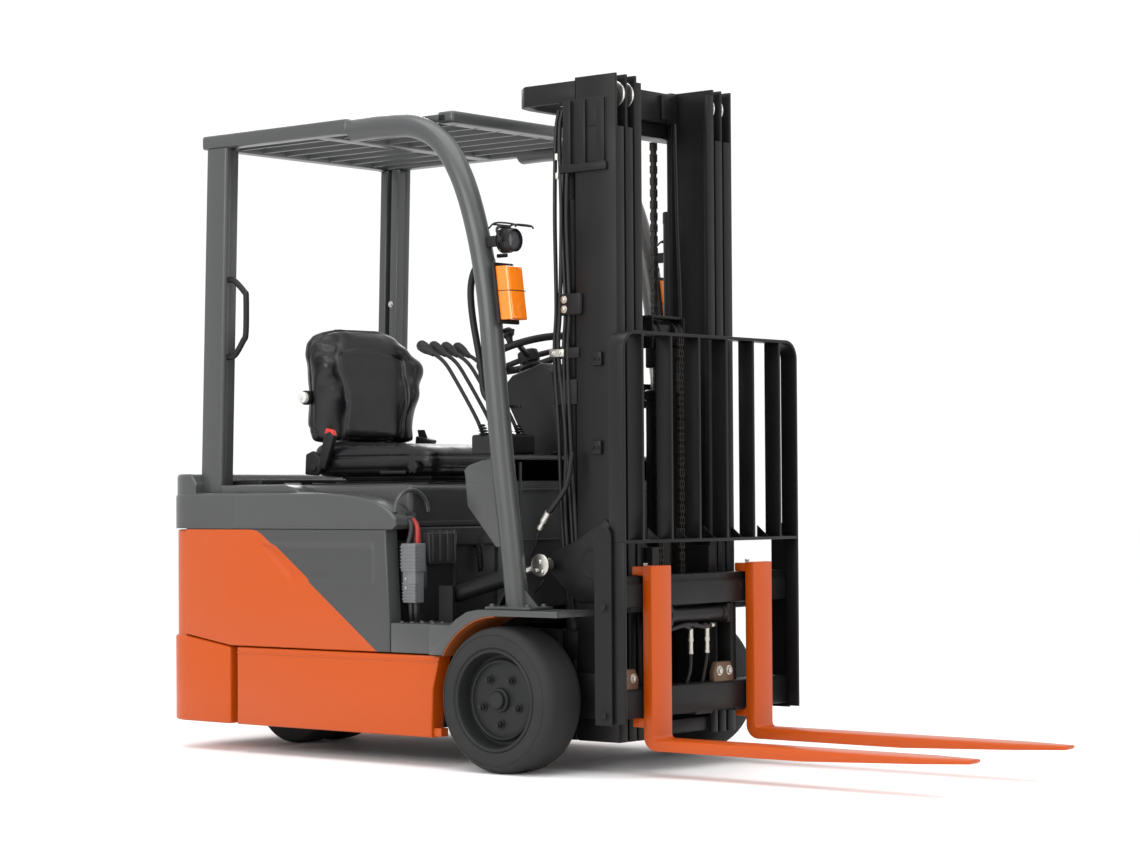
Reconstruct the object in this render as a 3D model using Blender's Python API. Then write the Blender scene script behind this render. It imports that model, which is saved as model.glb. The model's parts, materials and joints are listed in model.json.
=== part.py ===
# Three-wheel electric counterbalance forklift with a three-stage mast, side shifter and load backrest.
# Metres, +X forward along the forks, +Y to the truck's left, +Z up. Shapes are laid out from the front
# axle; the parent empty "truck" then moves them so that the origin is under the middle of the truck.
import math

import bmesh
import bpy
from mathutils import Matrix, Vector

# Fits
touch = 0.0003  # gap between faces that rest on each other
slide_gap = 0.0008  # gap at pins, bars and rods that slide
run_gap = 0.006  # least gap between pieces that move past each other

# Wheels
tyre_radius = 0.2285
tyre_width = 0.178
rim_radius = 0.161
track_half = 0.545  # centre plane to the front tyres' outer faces
axle_radius = 0.058
axle_height = tyre_radius
wheelbase = 1.30
steer_tyre_radius = 0.1905
steer_tyre_width = 0.127
steer_rim_radius = 0.100
steer_leg_half = 0.012
steer_tyre_gap = 0.018  # centre plane to the near face of each rear tyre
steer_axle_radius = 0.025

# Body
body_half = 0.506
panel_thick = 0.0557  # skirts and side panels, which reach in to the battery box
skirt_bottom = 0.096
skirt_top = 0.357
panel_top = 0.757
seam = 0.004  # open seam between painted panels
skirt_rear_x = -1.188
skirt_front_x = -0.294
panel_front_x = -0.475
panel_rear_x = -1.4425
rear_x = -1.600
rear_curve_x = -1.400  # where the sides start to curve in towards the rear
rear_curve_power = 3.5
lower_tier_x = -1.222
tier_split = 0.390
upper_tier_inset = 0.008
deck_top = 0.880
rear_cap_top = 0.945
well_half = 0.270  # half width of the rear wheel well
well_top = 0.665
box_front_x = -0.490
box_rear_x = -1.050
box_half = 0.450
box_wall = 0.015
box_floor = 0.100
box_top = 0.720
floor_top = 2 * tyre_radius
floor_thick = 0.012
floor_half = 0.346
cowl_x = -0.065  # front face of the cowl
cowl_thick = 0.015
cowl_top = 0.985
step_inner = 0.350
fender_top = 2 * tyre_radius + 0.051
fender_inner = 0.352
fender_outer = 0.530
arch_radius = tyre_radius + 0.0335

# Battery hood and seat
hood_front_x = -0.478
connector_x = -0.425
hood_rear_x = -1.170
hood_half = 0.400
hood_top = 0.900
hood_bottom = hood_top - 0.135
hood_wall = 0.012
hinge_gap = 0.012  # hood's rear wall to its hinge line
hood_hinge = (hood_rear_x - hinge_gap, 0, hood_top)
seat_half = 0.250
seat_rear_x = -1.090
seat_front_x = -0.530
cushion_bottom = hood_top + 0.032
cushion_top = cushion_bottom + 0.118
back_rear_x = -1.150
back_front_x = -0.990
back_high = 0.402  # foot to head

# Overhead guard
guard_half = 0.465
guard_rear_x = -1.400
guard_front_x = -0.297
guard_top = 2.113
guard_deep = 0.048
pillar_tube = 0.0375
cowl_half = guard_half - 2 * pillar_tube - 0.010
guard_split_x = -0.700  # where the front pillars' tubes end on the roof

# Mast
mast_front_x = 0.310
mast_rear_x = 0.145
mast_half = 0.303
mast_bottom = 0.0965
mast_top = 2.180
flange = 0.018
web = 0.010
outer_flange_wide = 0.042
middle_flange_wide = 0.036
inner_flange_wide = 0.035
rail_gap = 0.009
lift_tube_radius = 0.028
lift_rod_radius = 0.017
lift_x = 0.098
lift_y = 0.258
lift_tube_top = 1.800
free_tube_radius = 0.040
free_rod_radius = 0.025
free_x = 0.235
free_tube_top = 1.200
head_bottom = 1.270
pulley_radius = 0.045
bow_rear_x = -0.115
tie_rear_x = 0.015
tie_arm = 0.011
tilt_pin = (0.050, 0.645)
tilt_anchor = (-0.330, 0.545)
tilt_y = 0.350
tilt_pin_radius = 0.012
roller_radius = 0.0637  # runs between a rail's flanges
roller_x = (mast_front_x + mast_rear_x) / 2

# Carriage, side shifter, backrest and forks
carriage_x = 0.325
plate_thick = 0.020
bar_rear_x = carriage_x + plate_thick + slide_gap
bar_front_x = 0.410
upper_bar = (0.520, 0.615)
lower_bar = (0.180, 0.270)
shifter_half = 0.4572
side_plate_thick = 0.010
backrest_bar = 0.010
backrest_x = (0.397, 0.457)
backrest_top = 1.366
backrest_shelf = 0.727
backrest_bar_pitch = 0.1435
backrest_corner = 0.060
fork_front_x = 0.450
fork_thick = 0.035
fork_wide = 0.100
fork_y = 0.266
fork_bottom = 0.080
fork_top = 0.6465
fork_tip_x = 1.570
fork_tip_thick = 0.012

paints = {
    "orange_paint": ((0.75, 0.11, 0.03), 0.35, 0.0),
    "grey_paint": ((0.09, 0.09, 0.095), 0.45, 0.0),
    "mast_black": ((0.012, 0.012, 0.013), 0.5, 0.0),
    "frame_black": ((0.02, 0.02, 0.021), 0.6, 0.0),
    "tyre_rubber": ((0.02, 0.02, 0.02), 0.8, 0.0),
    "rim_grey": ((0.06, 0.06, 0.065), 0.5, 0.0),
    "bright_steel": ((0.6, 0.6, 0.6), 0.3, 1.0),
    "black_plastic": ((0.015, 0.015, 0.016), 0.55, 0.0),
    "seat_vinyl": ((0.014, 0.014, 0.016), 0.5, 0.0),
    "amber_lens": ((0.9, 0.25, 0.02), 0.2, 0.0),
    "connector_grey": ((0.22, 0.23, 0.24), 0.5, 0.0),
    "red_cable": ((0.5, 0.02, 0.02), 0.5, 0.0),
    "black_cable": ((0.01, 0.01, 0.01), 0.5, 0.0),
    "battery_grey": ((0.1, 0.1, 0.1), 0.6, 0.0),
}


# ---- shapes ----
def block(x, y, z):
    """A box from (low, high) pairs."""
    bm = bmesh.new()
    bmesh.ops.create_cube(bm, size=1)
    bmesh.ops.scale(bm, vec=(x[1] - x[0], y[1] - y[0], z[1] - z[0]), verts=bm.verts)
    bmesh.ops.translate(bm, vec=((x[0] + x[1]) / 2, (y[0] + y[1]) / 2, (z[0] + z[1]) / 2), verts=bm.verts)
    return bm


def slab(outline, axis, low, high):
    """A flat outline of two of X, Y, Z, in that order, extruded along the third."""
    bm = bmesh.new()
    at = {"x": lambda a, b: (low, a, b), "y": lambda a, b: (a, low, b), "z": lambda a, b: (a, b, low)}[axis]
    face = bm.faces.new([bm.verts.new(at(a, b)) for a, b in outline])
    made = bmesh.ops.extrude_face_region(bm, geom=[face])
    along = Vector([high - low if axis == name else 0 for name in "xyz"])
    moved = [item for item in made["geom"] if isinstance(item, bmesh.types.BMVert)]
    bmesh.ops.translate(bm, vec=along, verts=moved)
    bmesh.ops.recalc_face_normals(bm, faces=bm.faces)
    return bm


def rod(start, end, radius, sides=20, end_radius=None):
    """A round bar or cone between two points."""
    start, end = Vector(start), Vector(end)
    bm = bmesh.new()
    bmesh.ops.create_cone(
        bm,
        cap_ends=True,
        segments=sides,
        radius1=radius,
        radius2=radius if end_radius is None else end_radius,
        depth=(end - start).length,
    )
    turn = (end - start).to_track_quat("Z", "Y").to_matrix().to_4x4()
    bmesh.ops.transform(bm, matrix=Matrix.Translation((start + end) / 2) @ turn, verts=bm.verts)
    return bm


def cross_rod(x, z, y, radius, sides=20):
    """A round bar across the truck."""
    return rod((x, y[0], z), (x, y[1], z), radius, sides)


def ring(profile, centre, axis, steps=48):
    """A closed outline of (radius, distance along the axis) turned round the axis."""
    bm = bmesh.new()
    verts = [bm.verts.new((radius, 0, along)) for radius, along in profile]
    edges = [bm.edges.new((a, b)) for a, b in zip(verts, verts[1:] + verts[:1])]
    bmesh.ops.spin(
        bm, geom=verts + edges, cent=(0, 0, 0), axis=(0, 0, 1), angle=2 * math.pi, steps=steps, use_merge=True
    )
    turn = Vector(axis).to_track_quat("Z", "Y").to_matrix().to_4x4()
    bmesh.ops.transform(bm, matrix=Matrix.Translation(centre) @ turn, verts=bm.verts)
    bmesh.ops.recalc_face_normals(bm, faces=bm.faces)
    return bm


def ball(centre, radius, sides=12):
    bm = bmesh.new()
    bmesh.ops.create_uvsphere(bm, u_segments=sides, v_segments=sides // 2, radius=radius)
    bmesh.ops.translate(bm, vec=centre, verts=bm.verts)
    return bm


def tube(points, radius, resolution=2):
    """A round bar along a path of points."""
    curve = bpy.data.curves.new("path", "CURVE")
    curve.dimensions = "3D"
    curve.bevel_depth = radius
    curve.bevel_resolution = resolution
    curve.use_fill_caps = True
    spline = curve.splines.new("POLY")
    spline.points.add(len(points) - 1)
    for point, place in zip(spline.points, points):
        point.co = (*place, 1)
    guide = bpy.data.objects.new("path", curve)
    mesh = bpy.data.meshes.new_from_object(guide)
    bm = bmesh.new()
    bm.from_mesh(mesh)
    bmesh.ops.remove_doubles(bm, verts=bm.verts, dist=0.00001)
    bmesh.ops.recalc_face_normals(bm, faces=bm.faces)
    bpy.data.objects.remove(guide)
    bpy.data.curves.remove(curve)
    bpy.data.meshes.remove(mesh)
    return bm


def smooth_path(points, steps=6):
    """Points along a Catmull-Rom curve through the given ones."""
    places = [Vector(p) for p in points]
    places = [2 * places[0] - places[1]] + places + [2 * places[-1] - places[-2]]
    path = []
    for a, b, c, d in zip(places, places[1:], places[2:], places[3:]):
        for step in range(steps):
            t = step / steps
            path.append(
                0.5 * (
                    (2 * b) + (c - a) * t + (2 * a - 5 * b + 4 * c - d) * t**2 + (
                        3 * b - a - 3 * c + d
                    ) * t**3
                )
            )
    return path + [places[-2]]


def arc(centre, radius, start, end, steps):
    """Points on a circle from one angle to another, in degrees."""
    angles = [math.radians(start + (end - start) * i / steps) for i in range(steps + 1)]
    return [(centre[0] + radius * math.cos(a), centre[1] + radius * math.sin(a)) for a in angles]


def both(low, high):
    """The same distance range on the right side, then on the left."""
    return (-high, -low), (low, high)


def mesh_of(shapes, name, pivot):
    merged = bmesh.new()
    for shape in shapes:
        passing = bpy.data.meshes.new("passing")
        shape.to_mesh(passing)
        merged.from_mesh(passing)
        bpy.data.meshes.remove(passing)
    bmesh.ops.translate(merged, vec=-Vector(pivot), verts=merged.verts)
    mesh = bpy.data.meshes.new(name)
    merged.to_mesh(mesh)
    return mesh


def helper(shapes, name, pivot):
    """A hidden operand for a Boolean."""
    obj = bpy.data.objects.new(name, mesh_of(shapes, name, pivot))
    bpy.context.scene.collection.objects.link(obj)
    obj.location = pivot
    obj.parent = truck
    obj.hide_render = True
    obj.display_type = "WIRE"
    return obj


def part(name, paint, shapes, cuts=(), pivot=(0, 0, 0), smooth=True):
    """One named piece: its shapes joined, then its cuts taken away. A moving piece's pivot is on its axis."""
    obj = bpy.data.objects.new(name, mesh_of(shapes[:1], name, pivot))
    bpy.context.scene.collection.objects.link(obj)
    obj.location = pivot
    obj.parent = truck
    obj.data.materials.append(materials[paint])
    for number, shape in enumerate(shapes[1:], start=1):
        join = obj.modifiers.new("join", "BOOLEAN")
        join.operation = "UNION"
        join.solver = "EXACT"
        join.object = helper([shape], f"{name}_join_{number}", pivot)
    if cuts:
        cut = obj.modifiers.new("cut", "BOOLEAN")
        cut.operation = "DIFFERENCE"
        cut.solver = "EXACT"
        cut.use_self = len(cuts) > 1
        cut.object = helper(cuts, name + "_cut", pivot)
    if smooth:
        obj.data.shade_smooth()
        obj.data.set_sharp_from_angle(angle=math.radians(35))
    return obj




def sides():
    """The name and the sign of Y of each side."""
    return (("right", -1), ("left", 1))


def span(sign, low, high):
    """A Y range on one side."""
    return (low, high) if sign > 0 else (-high, -low)


# ---- scene ----
for obj in list(bpy.data.objects):
    bpy.data.objects.remove(obj)

materials = {}
for name, (colour, roughness, metallic) in paints.items():
    material = bpy.data.materials.new(name)
    material.use_nodes = True
    shader = material.node_tree.nodes["Principled BSDF"]
    shader.inputs["Base Color"].default_value = (*colour, 1)
    shader.inputs["Roughness"].default_value = roughness
    shader.inputs["Metallic"].default_value = metallic
    materials[name] = material

truck = bpy.data.objects.new("truck", None)
bpy.context.scene.collection.objects.link(truck)
truck.location = (-(rear_x + fork_tip_x) / 2, 0, 0)


# ---- chassis ----
def rear_outline(front_x, half, reach):
    """Plan outline of the rear: straight sides, then a soft square end that reaches back to reach."""
    depth = rear_curve_x - reach
    power = rear_curve_power
    start = max(0, (rear_curve_x - front_x) / depth)
    curve = [(front_x, half * (1 - start**power) ** (1 / power))]
    steps = 9
    for i in range(steps + 1):
        angle = math.pi / 2 * i / steps
        x = rear_curve_x - depth * math.sin(angle) ** (2 / power)
        if x < front_x - 0.001:
            curve.append((x, half * math.cos(angle) ** (2 / power)))
    return curve + [(x, -y) for x, y in reversed(curve[:-1])]


def make_frame():
    lower_plates = [
        block((box_front_x - box_wall, 0.100), y, (0.130, floor_top - floor_thick - touch)) for y in both(
            0.323, 0.345,
        )
    ]
    walls = [
        block((box_rear_x, box_front_x), y, (box_floor, box_top)) for y in both(
            box_half - box_wall, box_half,
        )
    ]
    ends = [
        block((x - box_wall, x), (-box_half, box_half), (box_floor, box_top)) for x in (
            box_front_x, box_rear_x + box_wall,
        )
    ]
    tray = block((box_rear_x, box_front_x), (-box_half, box_half), (box_floor, box_floor + box_wall))
    beam = block((-0.360, -0.300), (-box_half, box_half), (0.290, skirt_top + seam - touch))
    towers = [block((-0.360, -0.300), y, (0.300, 0.575)) for y in both(0.384, 0.396)]
    pins = [cross_rod(*tilt_anchor, y, tilt_pin_radius, 16) for y in both(tilt_y - 0.018, 0.390)]
    mount = block((-1.420, box_rear_x + 0.005), (-0.200, 0.200), (0.600, 0.655))
    saddle = block((-0.120, -0.040), (-0.345, 0.345), (0.345, 0.400))
    part(
        "chassis_frame",
        "frame_black",
        [tray, *walls, *ends, *lower_plates, beam, *towers, *pins, mount, saddle],
        cuts=[cross_rod(0, axle_height, (-0.4, 0.4), axle_radius + 2 * touch, 24)],
    )


def make_battery():
    gap = 0.010
    part(
        "battery_block",
        "battery_grey",
        [
            block(
                (box_rear_x + box_wall + gap, box_front_x - box_wall - gap),
                (-box_half + box_wall + gap, box_half - box_wall - gap),
                (box_floor + box_wall + touch, box_top - 0.005),
            )
        ],
    )


def make_counterweight():
    lower = slab(rear_outline(lower_tier_x, body_half, rear_x), "z", skirt_bottom, tier_split)
    upper = slab(
        rear_outline(panel_rear_x - seam, body_half - upper_tier_inset, rear_x + upper_tier_inset),
        "z",
        tier_split - 0.05,
        panel_top - seam,
    )
    inner_half = body_half - panel_thick - seam
    inner = block(
        (-1.500, box_rear_x - touch), (-inner_half, inner_half), (0.400, panel_top - seam - 0.002),
    )
    well = block((rear_x + 0.045, 0), (-well_half, well_half), (-0.1, well_top))
    slope = [
        (panel_rear_x - seam, tier_split),
        (lower_tier_x, skirt_top),
        (lower_tier_x + 0.1, skirt_top),
        (lower_tier_x + 0.1, tier_split + 0.05),
        (panel_rear_x - seam, tier_split + 0.05),
    ]
    shoulders = [slab(slope, "y", *y) for y in both(inner_half, body_half + 0.1)]
    part("counterweight", "orange_paint", [lower, upper, inner], cuts=[well, *shoulders])


def make_side_panels():
    low = skirt_top + seam
    panel = [
        (panel_rear_x, panel_top),
        (panel_front_x - 0.018, panel_top),
        (panel_front_x, low + 0.080),
        (panel_front_x, low),
        (lower_tier_x, low),
        (panel_rear_x, tier_split + seam),
    ]
    skirt = [
        (skirt_rear_x, skirt_bottom),
        (skirt_front_x, skirt_bottom),
        (skirt_front_x + 0.006, 0.250),
        (skirt_front_x + 0.036, skirt_top),
        (skirt_rear_x, skirt_top),
    ]
    for side, sign in sides():
        y = span(sign, body_half - panel_thick, body_half)
        part(side + "_side_panel", "grey_paint", [slab(panel, "y", *y)])
        y = span(sign, body_half - panel_thick, body_half)
        part(side + "_skirt", "orange_paint", [slab(skirt, "y", *y)])


def make_fenders():
    step_low = skirt_top + seam
    arch_rear = -arch_radius - 0.018
    for side, sign in sides():
        step = block(
            (panel_front_x + seam, -0.190), span(sign, step_inner, body_half), (step_low, floor_top),
        )
        notch = block((-0.366, -0.294), span(sign, 0.340, 0.402), (0.2, 0.6))
        arch_line = [
            (arch_rear, step_low),
            (0.0, step_low),
            (0.250, 0.400),
            (0.250, fender_top),
            (arch_rear + 0.195, fender_top),
            (arch_rear + 0.090, floor_top),
            (arch_rear, floor_top),
        ]
        arch = slab(arch_line, "y", *span(sign, fender_inner, fender_outer))
        hollow = cross_rod(0, axle_height, span(sign, 0.3, 0.6), arch_radius, 40)
        front = block((0.0, 0.4), span(sign, 0.3, 0.6), (0.2, fender_top - 0.018))
        part(side + "_fender_step", "grey_paint", [step, arch], cuts=[hollow, front, notch])


def make_deck():
    rear = slab(rear_outline(-1.200, body_half, rear_x + 0.004), "z", panel_top + touch, deck_top)
    cap_edge = rear_outline(rear_curve_x + 0.010, body_half - 0.004, rear_x + 0.008)
    cap = slab(cap_edge, "z", deck_top - 0.030, rear_cap_top)
    rail_line = [
        (-1.250, panel_top + 2 * touch),
        (-0.463, panel_top + 2 * touch),
        (-0.440, 0.776),
        (-0.475, 0.815),
        (-0.545, 0.850),
        (-0.680, 0.872),
        (-1.250, deck_top - 0.001),
    ]
    rails = [slab(rail_line, "y", *y) for y in both(hood_half + 0.012, body_half - touch)]
    mat = block((-1.440, hood_rear_x - 0.030), (-0.380, 0.380), (deck_top - 0.02, 0.925))
    hinges = []
    for y in both(0.210, 0.290):
        hinges.append(cross_rod(hood_hinge[0], hood_hinge[2], y, hinge_gap - touch, 12))
        hinges.append(block((-1.210, hood_hinge[0]), y, (deck_top - 0.010, hood_top + 0.008)))
    pillar_seats = [block((-1.425, -1.300), y, (deck_top, 1.0)) for y in both(0.381, 0.600)]
    part("rear_deck", "grey_paint", [rear, cap, *rails, mat, *hinges], cuts=pillar_seats)


def make_hood():
    lid = block((hood_rear_x, hood_front_x), (-hood_half, hood_half), (hood_bottom, hood_top))
    hollow = block(
        (hood_rear_x + hood_wall, hood_front_x - hood_wall),
        (-hood_half + hood_wall, hood_half - hood_wall),
        (hood_bottom - 0.1, hood_top - hood_wall),
    )
    part("battery_hood", "black_plastic", [lid], cuts=[hollow], pivot=hood_hinge)
    part(
        "seat_suspension",
        "black_plastic",
        [block((-0.990, -0.580), (-0.190, 0.190), (hood_top + touch, cushion_bottom - touch))],
        pivot=hood_hinge,
    )
    cushion = [
        (seat_rear_x, cushion_bottom),
        (seat_front_x - 0.02, cushion_bottom),
        (seat_front_x, cushion_bottom + 0.03),
        (seat_front_x - 0.01, cushion_top - 0.015),
        (seat_front_x - 0.05, cushion_top),
        (seat_rear_x, cushion_top),
    ]
    part("seat_cushion", "seat_vinyl", [slab(cushion, "y", -seat_half, seat_half)], pivot=hood_hinge)
    foot = cushion_top + touch
    head = foot + back_high
    back = [
        (back_front_x, foot),
        (back_front_x, head - 0.110),
        (back_front_x - 0.070, head),
        (back_rear_x + 0.025, head),
        (back_rear_x, head - 0.045),
        (back_rear_x, foot),
    ]
    part("seat_back", "seat_vinyl", [slab(back, "y", -seat_half, seat_half)], pivot=hood_hinge)
    part(
        "front_battery_panel",
        "black_plastic",
        [
            block(
                (box_front_x + touch, hood_front_x),
                (-cowl_half, cowl_half),
                (floor_top + touch, hood_bottom - touch),
            ),
            block((hood_front_x - 0.002, hood_front_x + 0.022), (-0.400, -0.250), (0.690, 0.755)),
            block((hood_front_x - 0.002, connector_x - 0.032 - touch), (-0.445, -0.350), (0.560, 0.680)),
        ],
    )


def tilt_holes():
    """Clear round each tilt cylinder where it passes the toe board and the cowl."""
    foot = Vector((tilt_anchor[0], 0, tilt_anchor[1]))
    head = Vector((tilt_pin[0], 0, tilt_pin[1]))
    beyond = head + (head - foot) * 0.15
    return [rod((foot.x, y, foot.z), (beyond.x, y, beyond.z), 0.038, 20) for y in (-tilt_y, tilt_y)]


def make_floor():
    line = [
        (box_front_x + 0.001, floor_top - floor_thick),
        (-0.190, floor_top - floor_thick),
        (-0.088, 0.600),
        (-0.096, 0.606),
        (-0.196, floor_top),
        (box_front_x + 0.001, floor_top),
    ]
    part("floor_plate", "frame_black", [slab(line, "y", -floor_half, floor_half)], cuts=tilt_holes())
    toe_foot, toe_head = Vector((-0.196, floor_top)), Vector((-0.096, 0.606))
    toe_up = (toe_head - toe_foot).normalized()
    toe_foot += Vector((-toe_up.y, toe_up.x)) * touch
    for name, y, high in (
        ("brake_pedal", (-0.020, 0.080), 0.590), ("accelerator_pedal", (-0.190, -0.120), 0.600),
    ):
        pad = slab(
            [(-0.235, high - 0.075), (-0.195, high), (-0.185, high - 0.006), (-0.225, high - 0.081)],
            "y",
            *y,
        )
        middle = (y[0] + y[1]) / 2
        line = [
            toe_foot + toe_up * 0.095,
            toe_foot + toe_up * 0.115,
            (-0.200, high - 0.020),
            (-0.208, high - 0.040),
        ]
        arm = slab(line, "y", middle - 0.007, middle + 0.007)
        part(name, "black_plastic", [pad, arm])


column_foot = Vector((-0.175, 0, 0.930))
wheel_centre = Vector((-0.315, 0, 1.335))
column_axis = (wheel_centre - column_foot).normalized()


def make_cowl():
    wall = block((cowl_x - cowl_thick, cowl_x), (-cowl_half, cowl_half), (fender_top + touch, cowl_top))
    dash = slab(
        [(-0.255, 0.905), (cowl_x, 0.905), (cowl_x, cowl_top), (-0.120, cowl_top + 0.010), (-0.265, 0.955)],
        "y",
        -cowl_half,
        cowl_half,
    )
    cheek = [
        (cowl_x - 0.002, 0.700),
        (cowl_x - 0.002, cowl_top - 0.01),
        (-0.262, 0.945),
        (-0.250, 0.830),
        (-0.130, 0.700),
    ]
    cheeks = [slab(cheek, "y", *y) for y in both(cowl_half - 0.028, cowl_half - 0.001)]
    column_hole = rod(column_foot - column_axis * 0.1, column_foot + column_axis * 0.2, 0.045 + touch, 24)
    part("front_cowl", "grey_paint", [wall, dash, *cheeks], cuts=[*tilt_holes(), column_hole])
    part(
        "steering_column",
        "black_plastic",
        [
            rod(column_foot, column_foot + column_axis * 0.22, 0.045, 24),
            rod(column_foot + column_axis * 0.18, wheel_centre - column_axis * 0.0305, 0.030, 20),
        ],
    )
    grip = [(0.165 + 0.012 * math.cos(a), 0.012 * math.sin(a)) for a in [math.pi / 4 * i for i in range(8)]]
    side_way = Vector((0, 1, 0))
    ahead = column_axis.cross(side_way)
    spokes = []
    for degrees in (90, 210, 330):
        out = math.cos(math.radians(degrees)) * side_way + math.sin(math.radians(degrees)) * ahead
        spokes.append(rod(wheel_centre - column_axis * 0.012, wheel_centre + out * 0.163, 0.009, 8))
    hub = rod(wheel_centre - column_axis * 0.030, wheel_centre + column_axis * 0.004, 0.034, 20)
    part(
        "steering_wheel",
        "black_plastic",
        [ring(grip, wheel_centre, column_axis, 32), hub, *spokes],
        pivot=wheel_centre,
    )


def make_levers():
    shapes = [block((-0.215, -0.120), (-0.400, -0.190), (cowl_top + 0.0105, 1.060))]
    for i in range(4):
        y = -0.385 + 0.058 * i
        path = smooth_path(
            [(-0.165, y, 1.040), (-0.200, y, 1.150), (-0.270, y, 1.260), (-0.415, y, 1.340)], 3,
        )
        shapes += [tube(path, 0.007, 1), ball((-0.420, y, 1.343), 0.020, 12)]
    part("control_levers", "black_plastic", shapes)


def pillar_path(sign):
    """The bent tube of a front pillar, from its foot up to the roof and back along it."""
    y = sign * (guard_half - pillar_tube)
    roof = guard_top - pillar_tube
    line = [
        (0.005, y, fender_top + touch + 0.004),
        (-0.018, y, 0.700),
        (-0.055, y, 0.980),
        (-0.085, y, 1.250),
        (-0.112, y, 1.500),
        (-0.160, y, 1.720),
        (-0.225, y, 1.890),
        (-0.310, y, 2.005),
        (-0.420, y, 2.062),
        (-0.560, y, roof),
        (guard_split_x, y, roof),
    ]
    return smooth_path(line, 3)


def make_guard():
    low = guard_top - guard_deep
    beams = [
        block((guard_rear_x, guard_split_x - 0.001), y, (low, guard_top)) for y in both(
            guard_half - 0.06, guard_half,
        )
    ]
    inner = guard_half - 2 * pillar_tube - 2 * touch
    cross = [
        block((guard_rear_x, guard_rear_x + 0.06), (-guard_half, guard_half), (low, guard_top)),
        block((-0.900, -0.840), (-guard_half, guard_half), (low, guard_top)),
        block((guard_front_x - 0.052, guard_front_x), (-inner, inner), (low, guard_top - 0.004)),
    ]
    slats = []
    for i in range(7):
        y = -0.330 + 0.110 * i
        slats.append(
            block(
                (guard_rear_x + 0.03, guard_front_x - 0.03),
                (y - 0.006, y + 0.006),
                (low + 0.006, guard_top - 0.008),
            ),
        )
    part("overhead_guard_roof", "grey_paint", [*beams, *cross, *slats])
    for side, sign in sides():
        foot = fender_top + touch
        shapes = [tube(pillar_path(sign), pillar_tube, 3)]
        shapes.append(
            block(
                (-0.075, 0.110), span(sign, guard_half - 0.085, guard_half + 0.030), (foot, foot + 0.008),
            ),
        )
        part(side + "_front_pillar", "grey_paint", shapes)
        near = [
            (-1.412, deck_top + touch),
            (-1.310, deck_top + touch),
            (-1.275, low - touch),
            (-1.375, low - touch),
        ]
        part(
            side + "_rear_pillar",
            "grey_paint",
            [slab(near, "y", *span(sign, guard_half - 0.065, guard_half))],
        )


def make_lamps():
    for side, sign in sides():
        around = tube(pillar_path(sign), pillar_tube + touch, 3)
        signal = [
            block((-0.045, 0.005), span(sign, 0.385, 0.455), (1.415, 1.585)),
            block((-0.053, -0.043), span(sign, 0.370, 0.465), (1.405, 1.600)),
            block((-0.085, -0.050), span(sign, 0.412, 0.443), (1.470, 1.530)),
        ]
        part(side + "_turn_signal", "amber_lens", signal, cuts=[around.copy()])
        lamp = [
            rod((-0.085, sign * 0.43, 1.672), (0.000, sign * 0.43, 1.672), 0.045, 20),
            block((-0.125, -0.060), span(sign, 0.415, 0.445), (1.655, 1.690)),
        ]
        part(side + "_work_light", "black_plastic", lamp, cuts=[around])


# ---- wheels ----
def make_front_wheels():
    for side, sign in sides():
        outer = sign * track_half
        inner = sign * (track_half - tyre_width)
        centre = (0, outer, axle_height)
        pivot = (0, sign * (track_half - tyre_width / 2), axle_height)
        edge = 0.012
        tread = [
            (rim_radius + touch, 0),
            (tyre_radius - edge, 0),
            (tyre_radius, edge),
            (tyre_radius, tyre_width - edge),
            (tyre_radius - edge, tyre_width),
            (rim_radius + touch, tyre_width),
        ]
        part(side + "_front_tyre", "tyre_rubber", [ring(tread, centre, (0, -sign, 0), 56)], pivot=pivot)
        dish = [
            (0.030, 0.030),
            (0.095, 0.030),
            (0.125, 0.045),
            (0.138, 0.006),
            (rim_radius, 0.004),
            (rim_radius, tyre_width - 0.004),
            (0.148, tyre_width - 0.004),
            (0.144, 0.070),
            (0.030, 0.060),
        ]
        hub = rod((0, outer - sign * 0.020, axle_height), (0, outer - sign * 0.080, axle_height), 0.036, 20)
        part(side + "_front_rim", "rim_grey", [ring(dish, centre, (0, -sign, 0), 40), hub], pivot=pivot)


def make_drive_axle():
    end = track_half - 0.0805
    axle = cross_rod(0, axle_height, (-end, end), axle_radius, 24)
    flanges = [cross_rod(0, axle_height, y, 0.130, 28) for y in both(end - 0.045, end - 0.020)]
    motor = cross_rod(-0.010, axle_height, (-0.190, 0.190), 0.105, 28)
    part("drive_axle", "frame_black", [axle, *flanges, motor])


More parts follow.
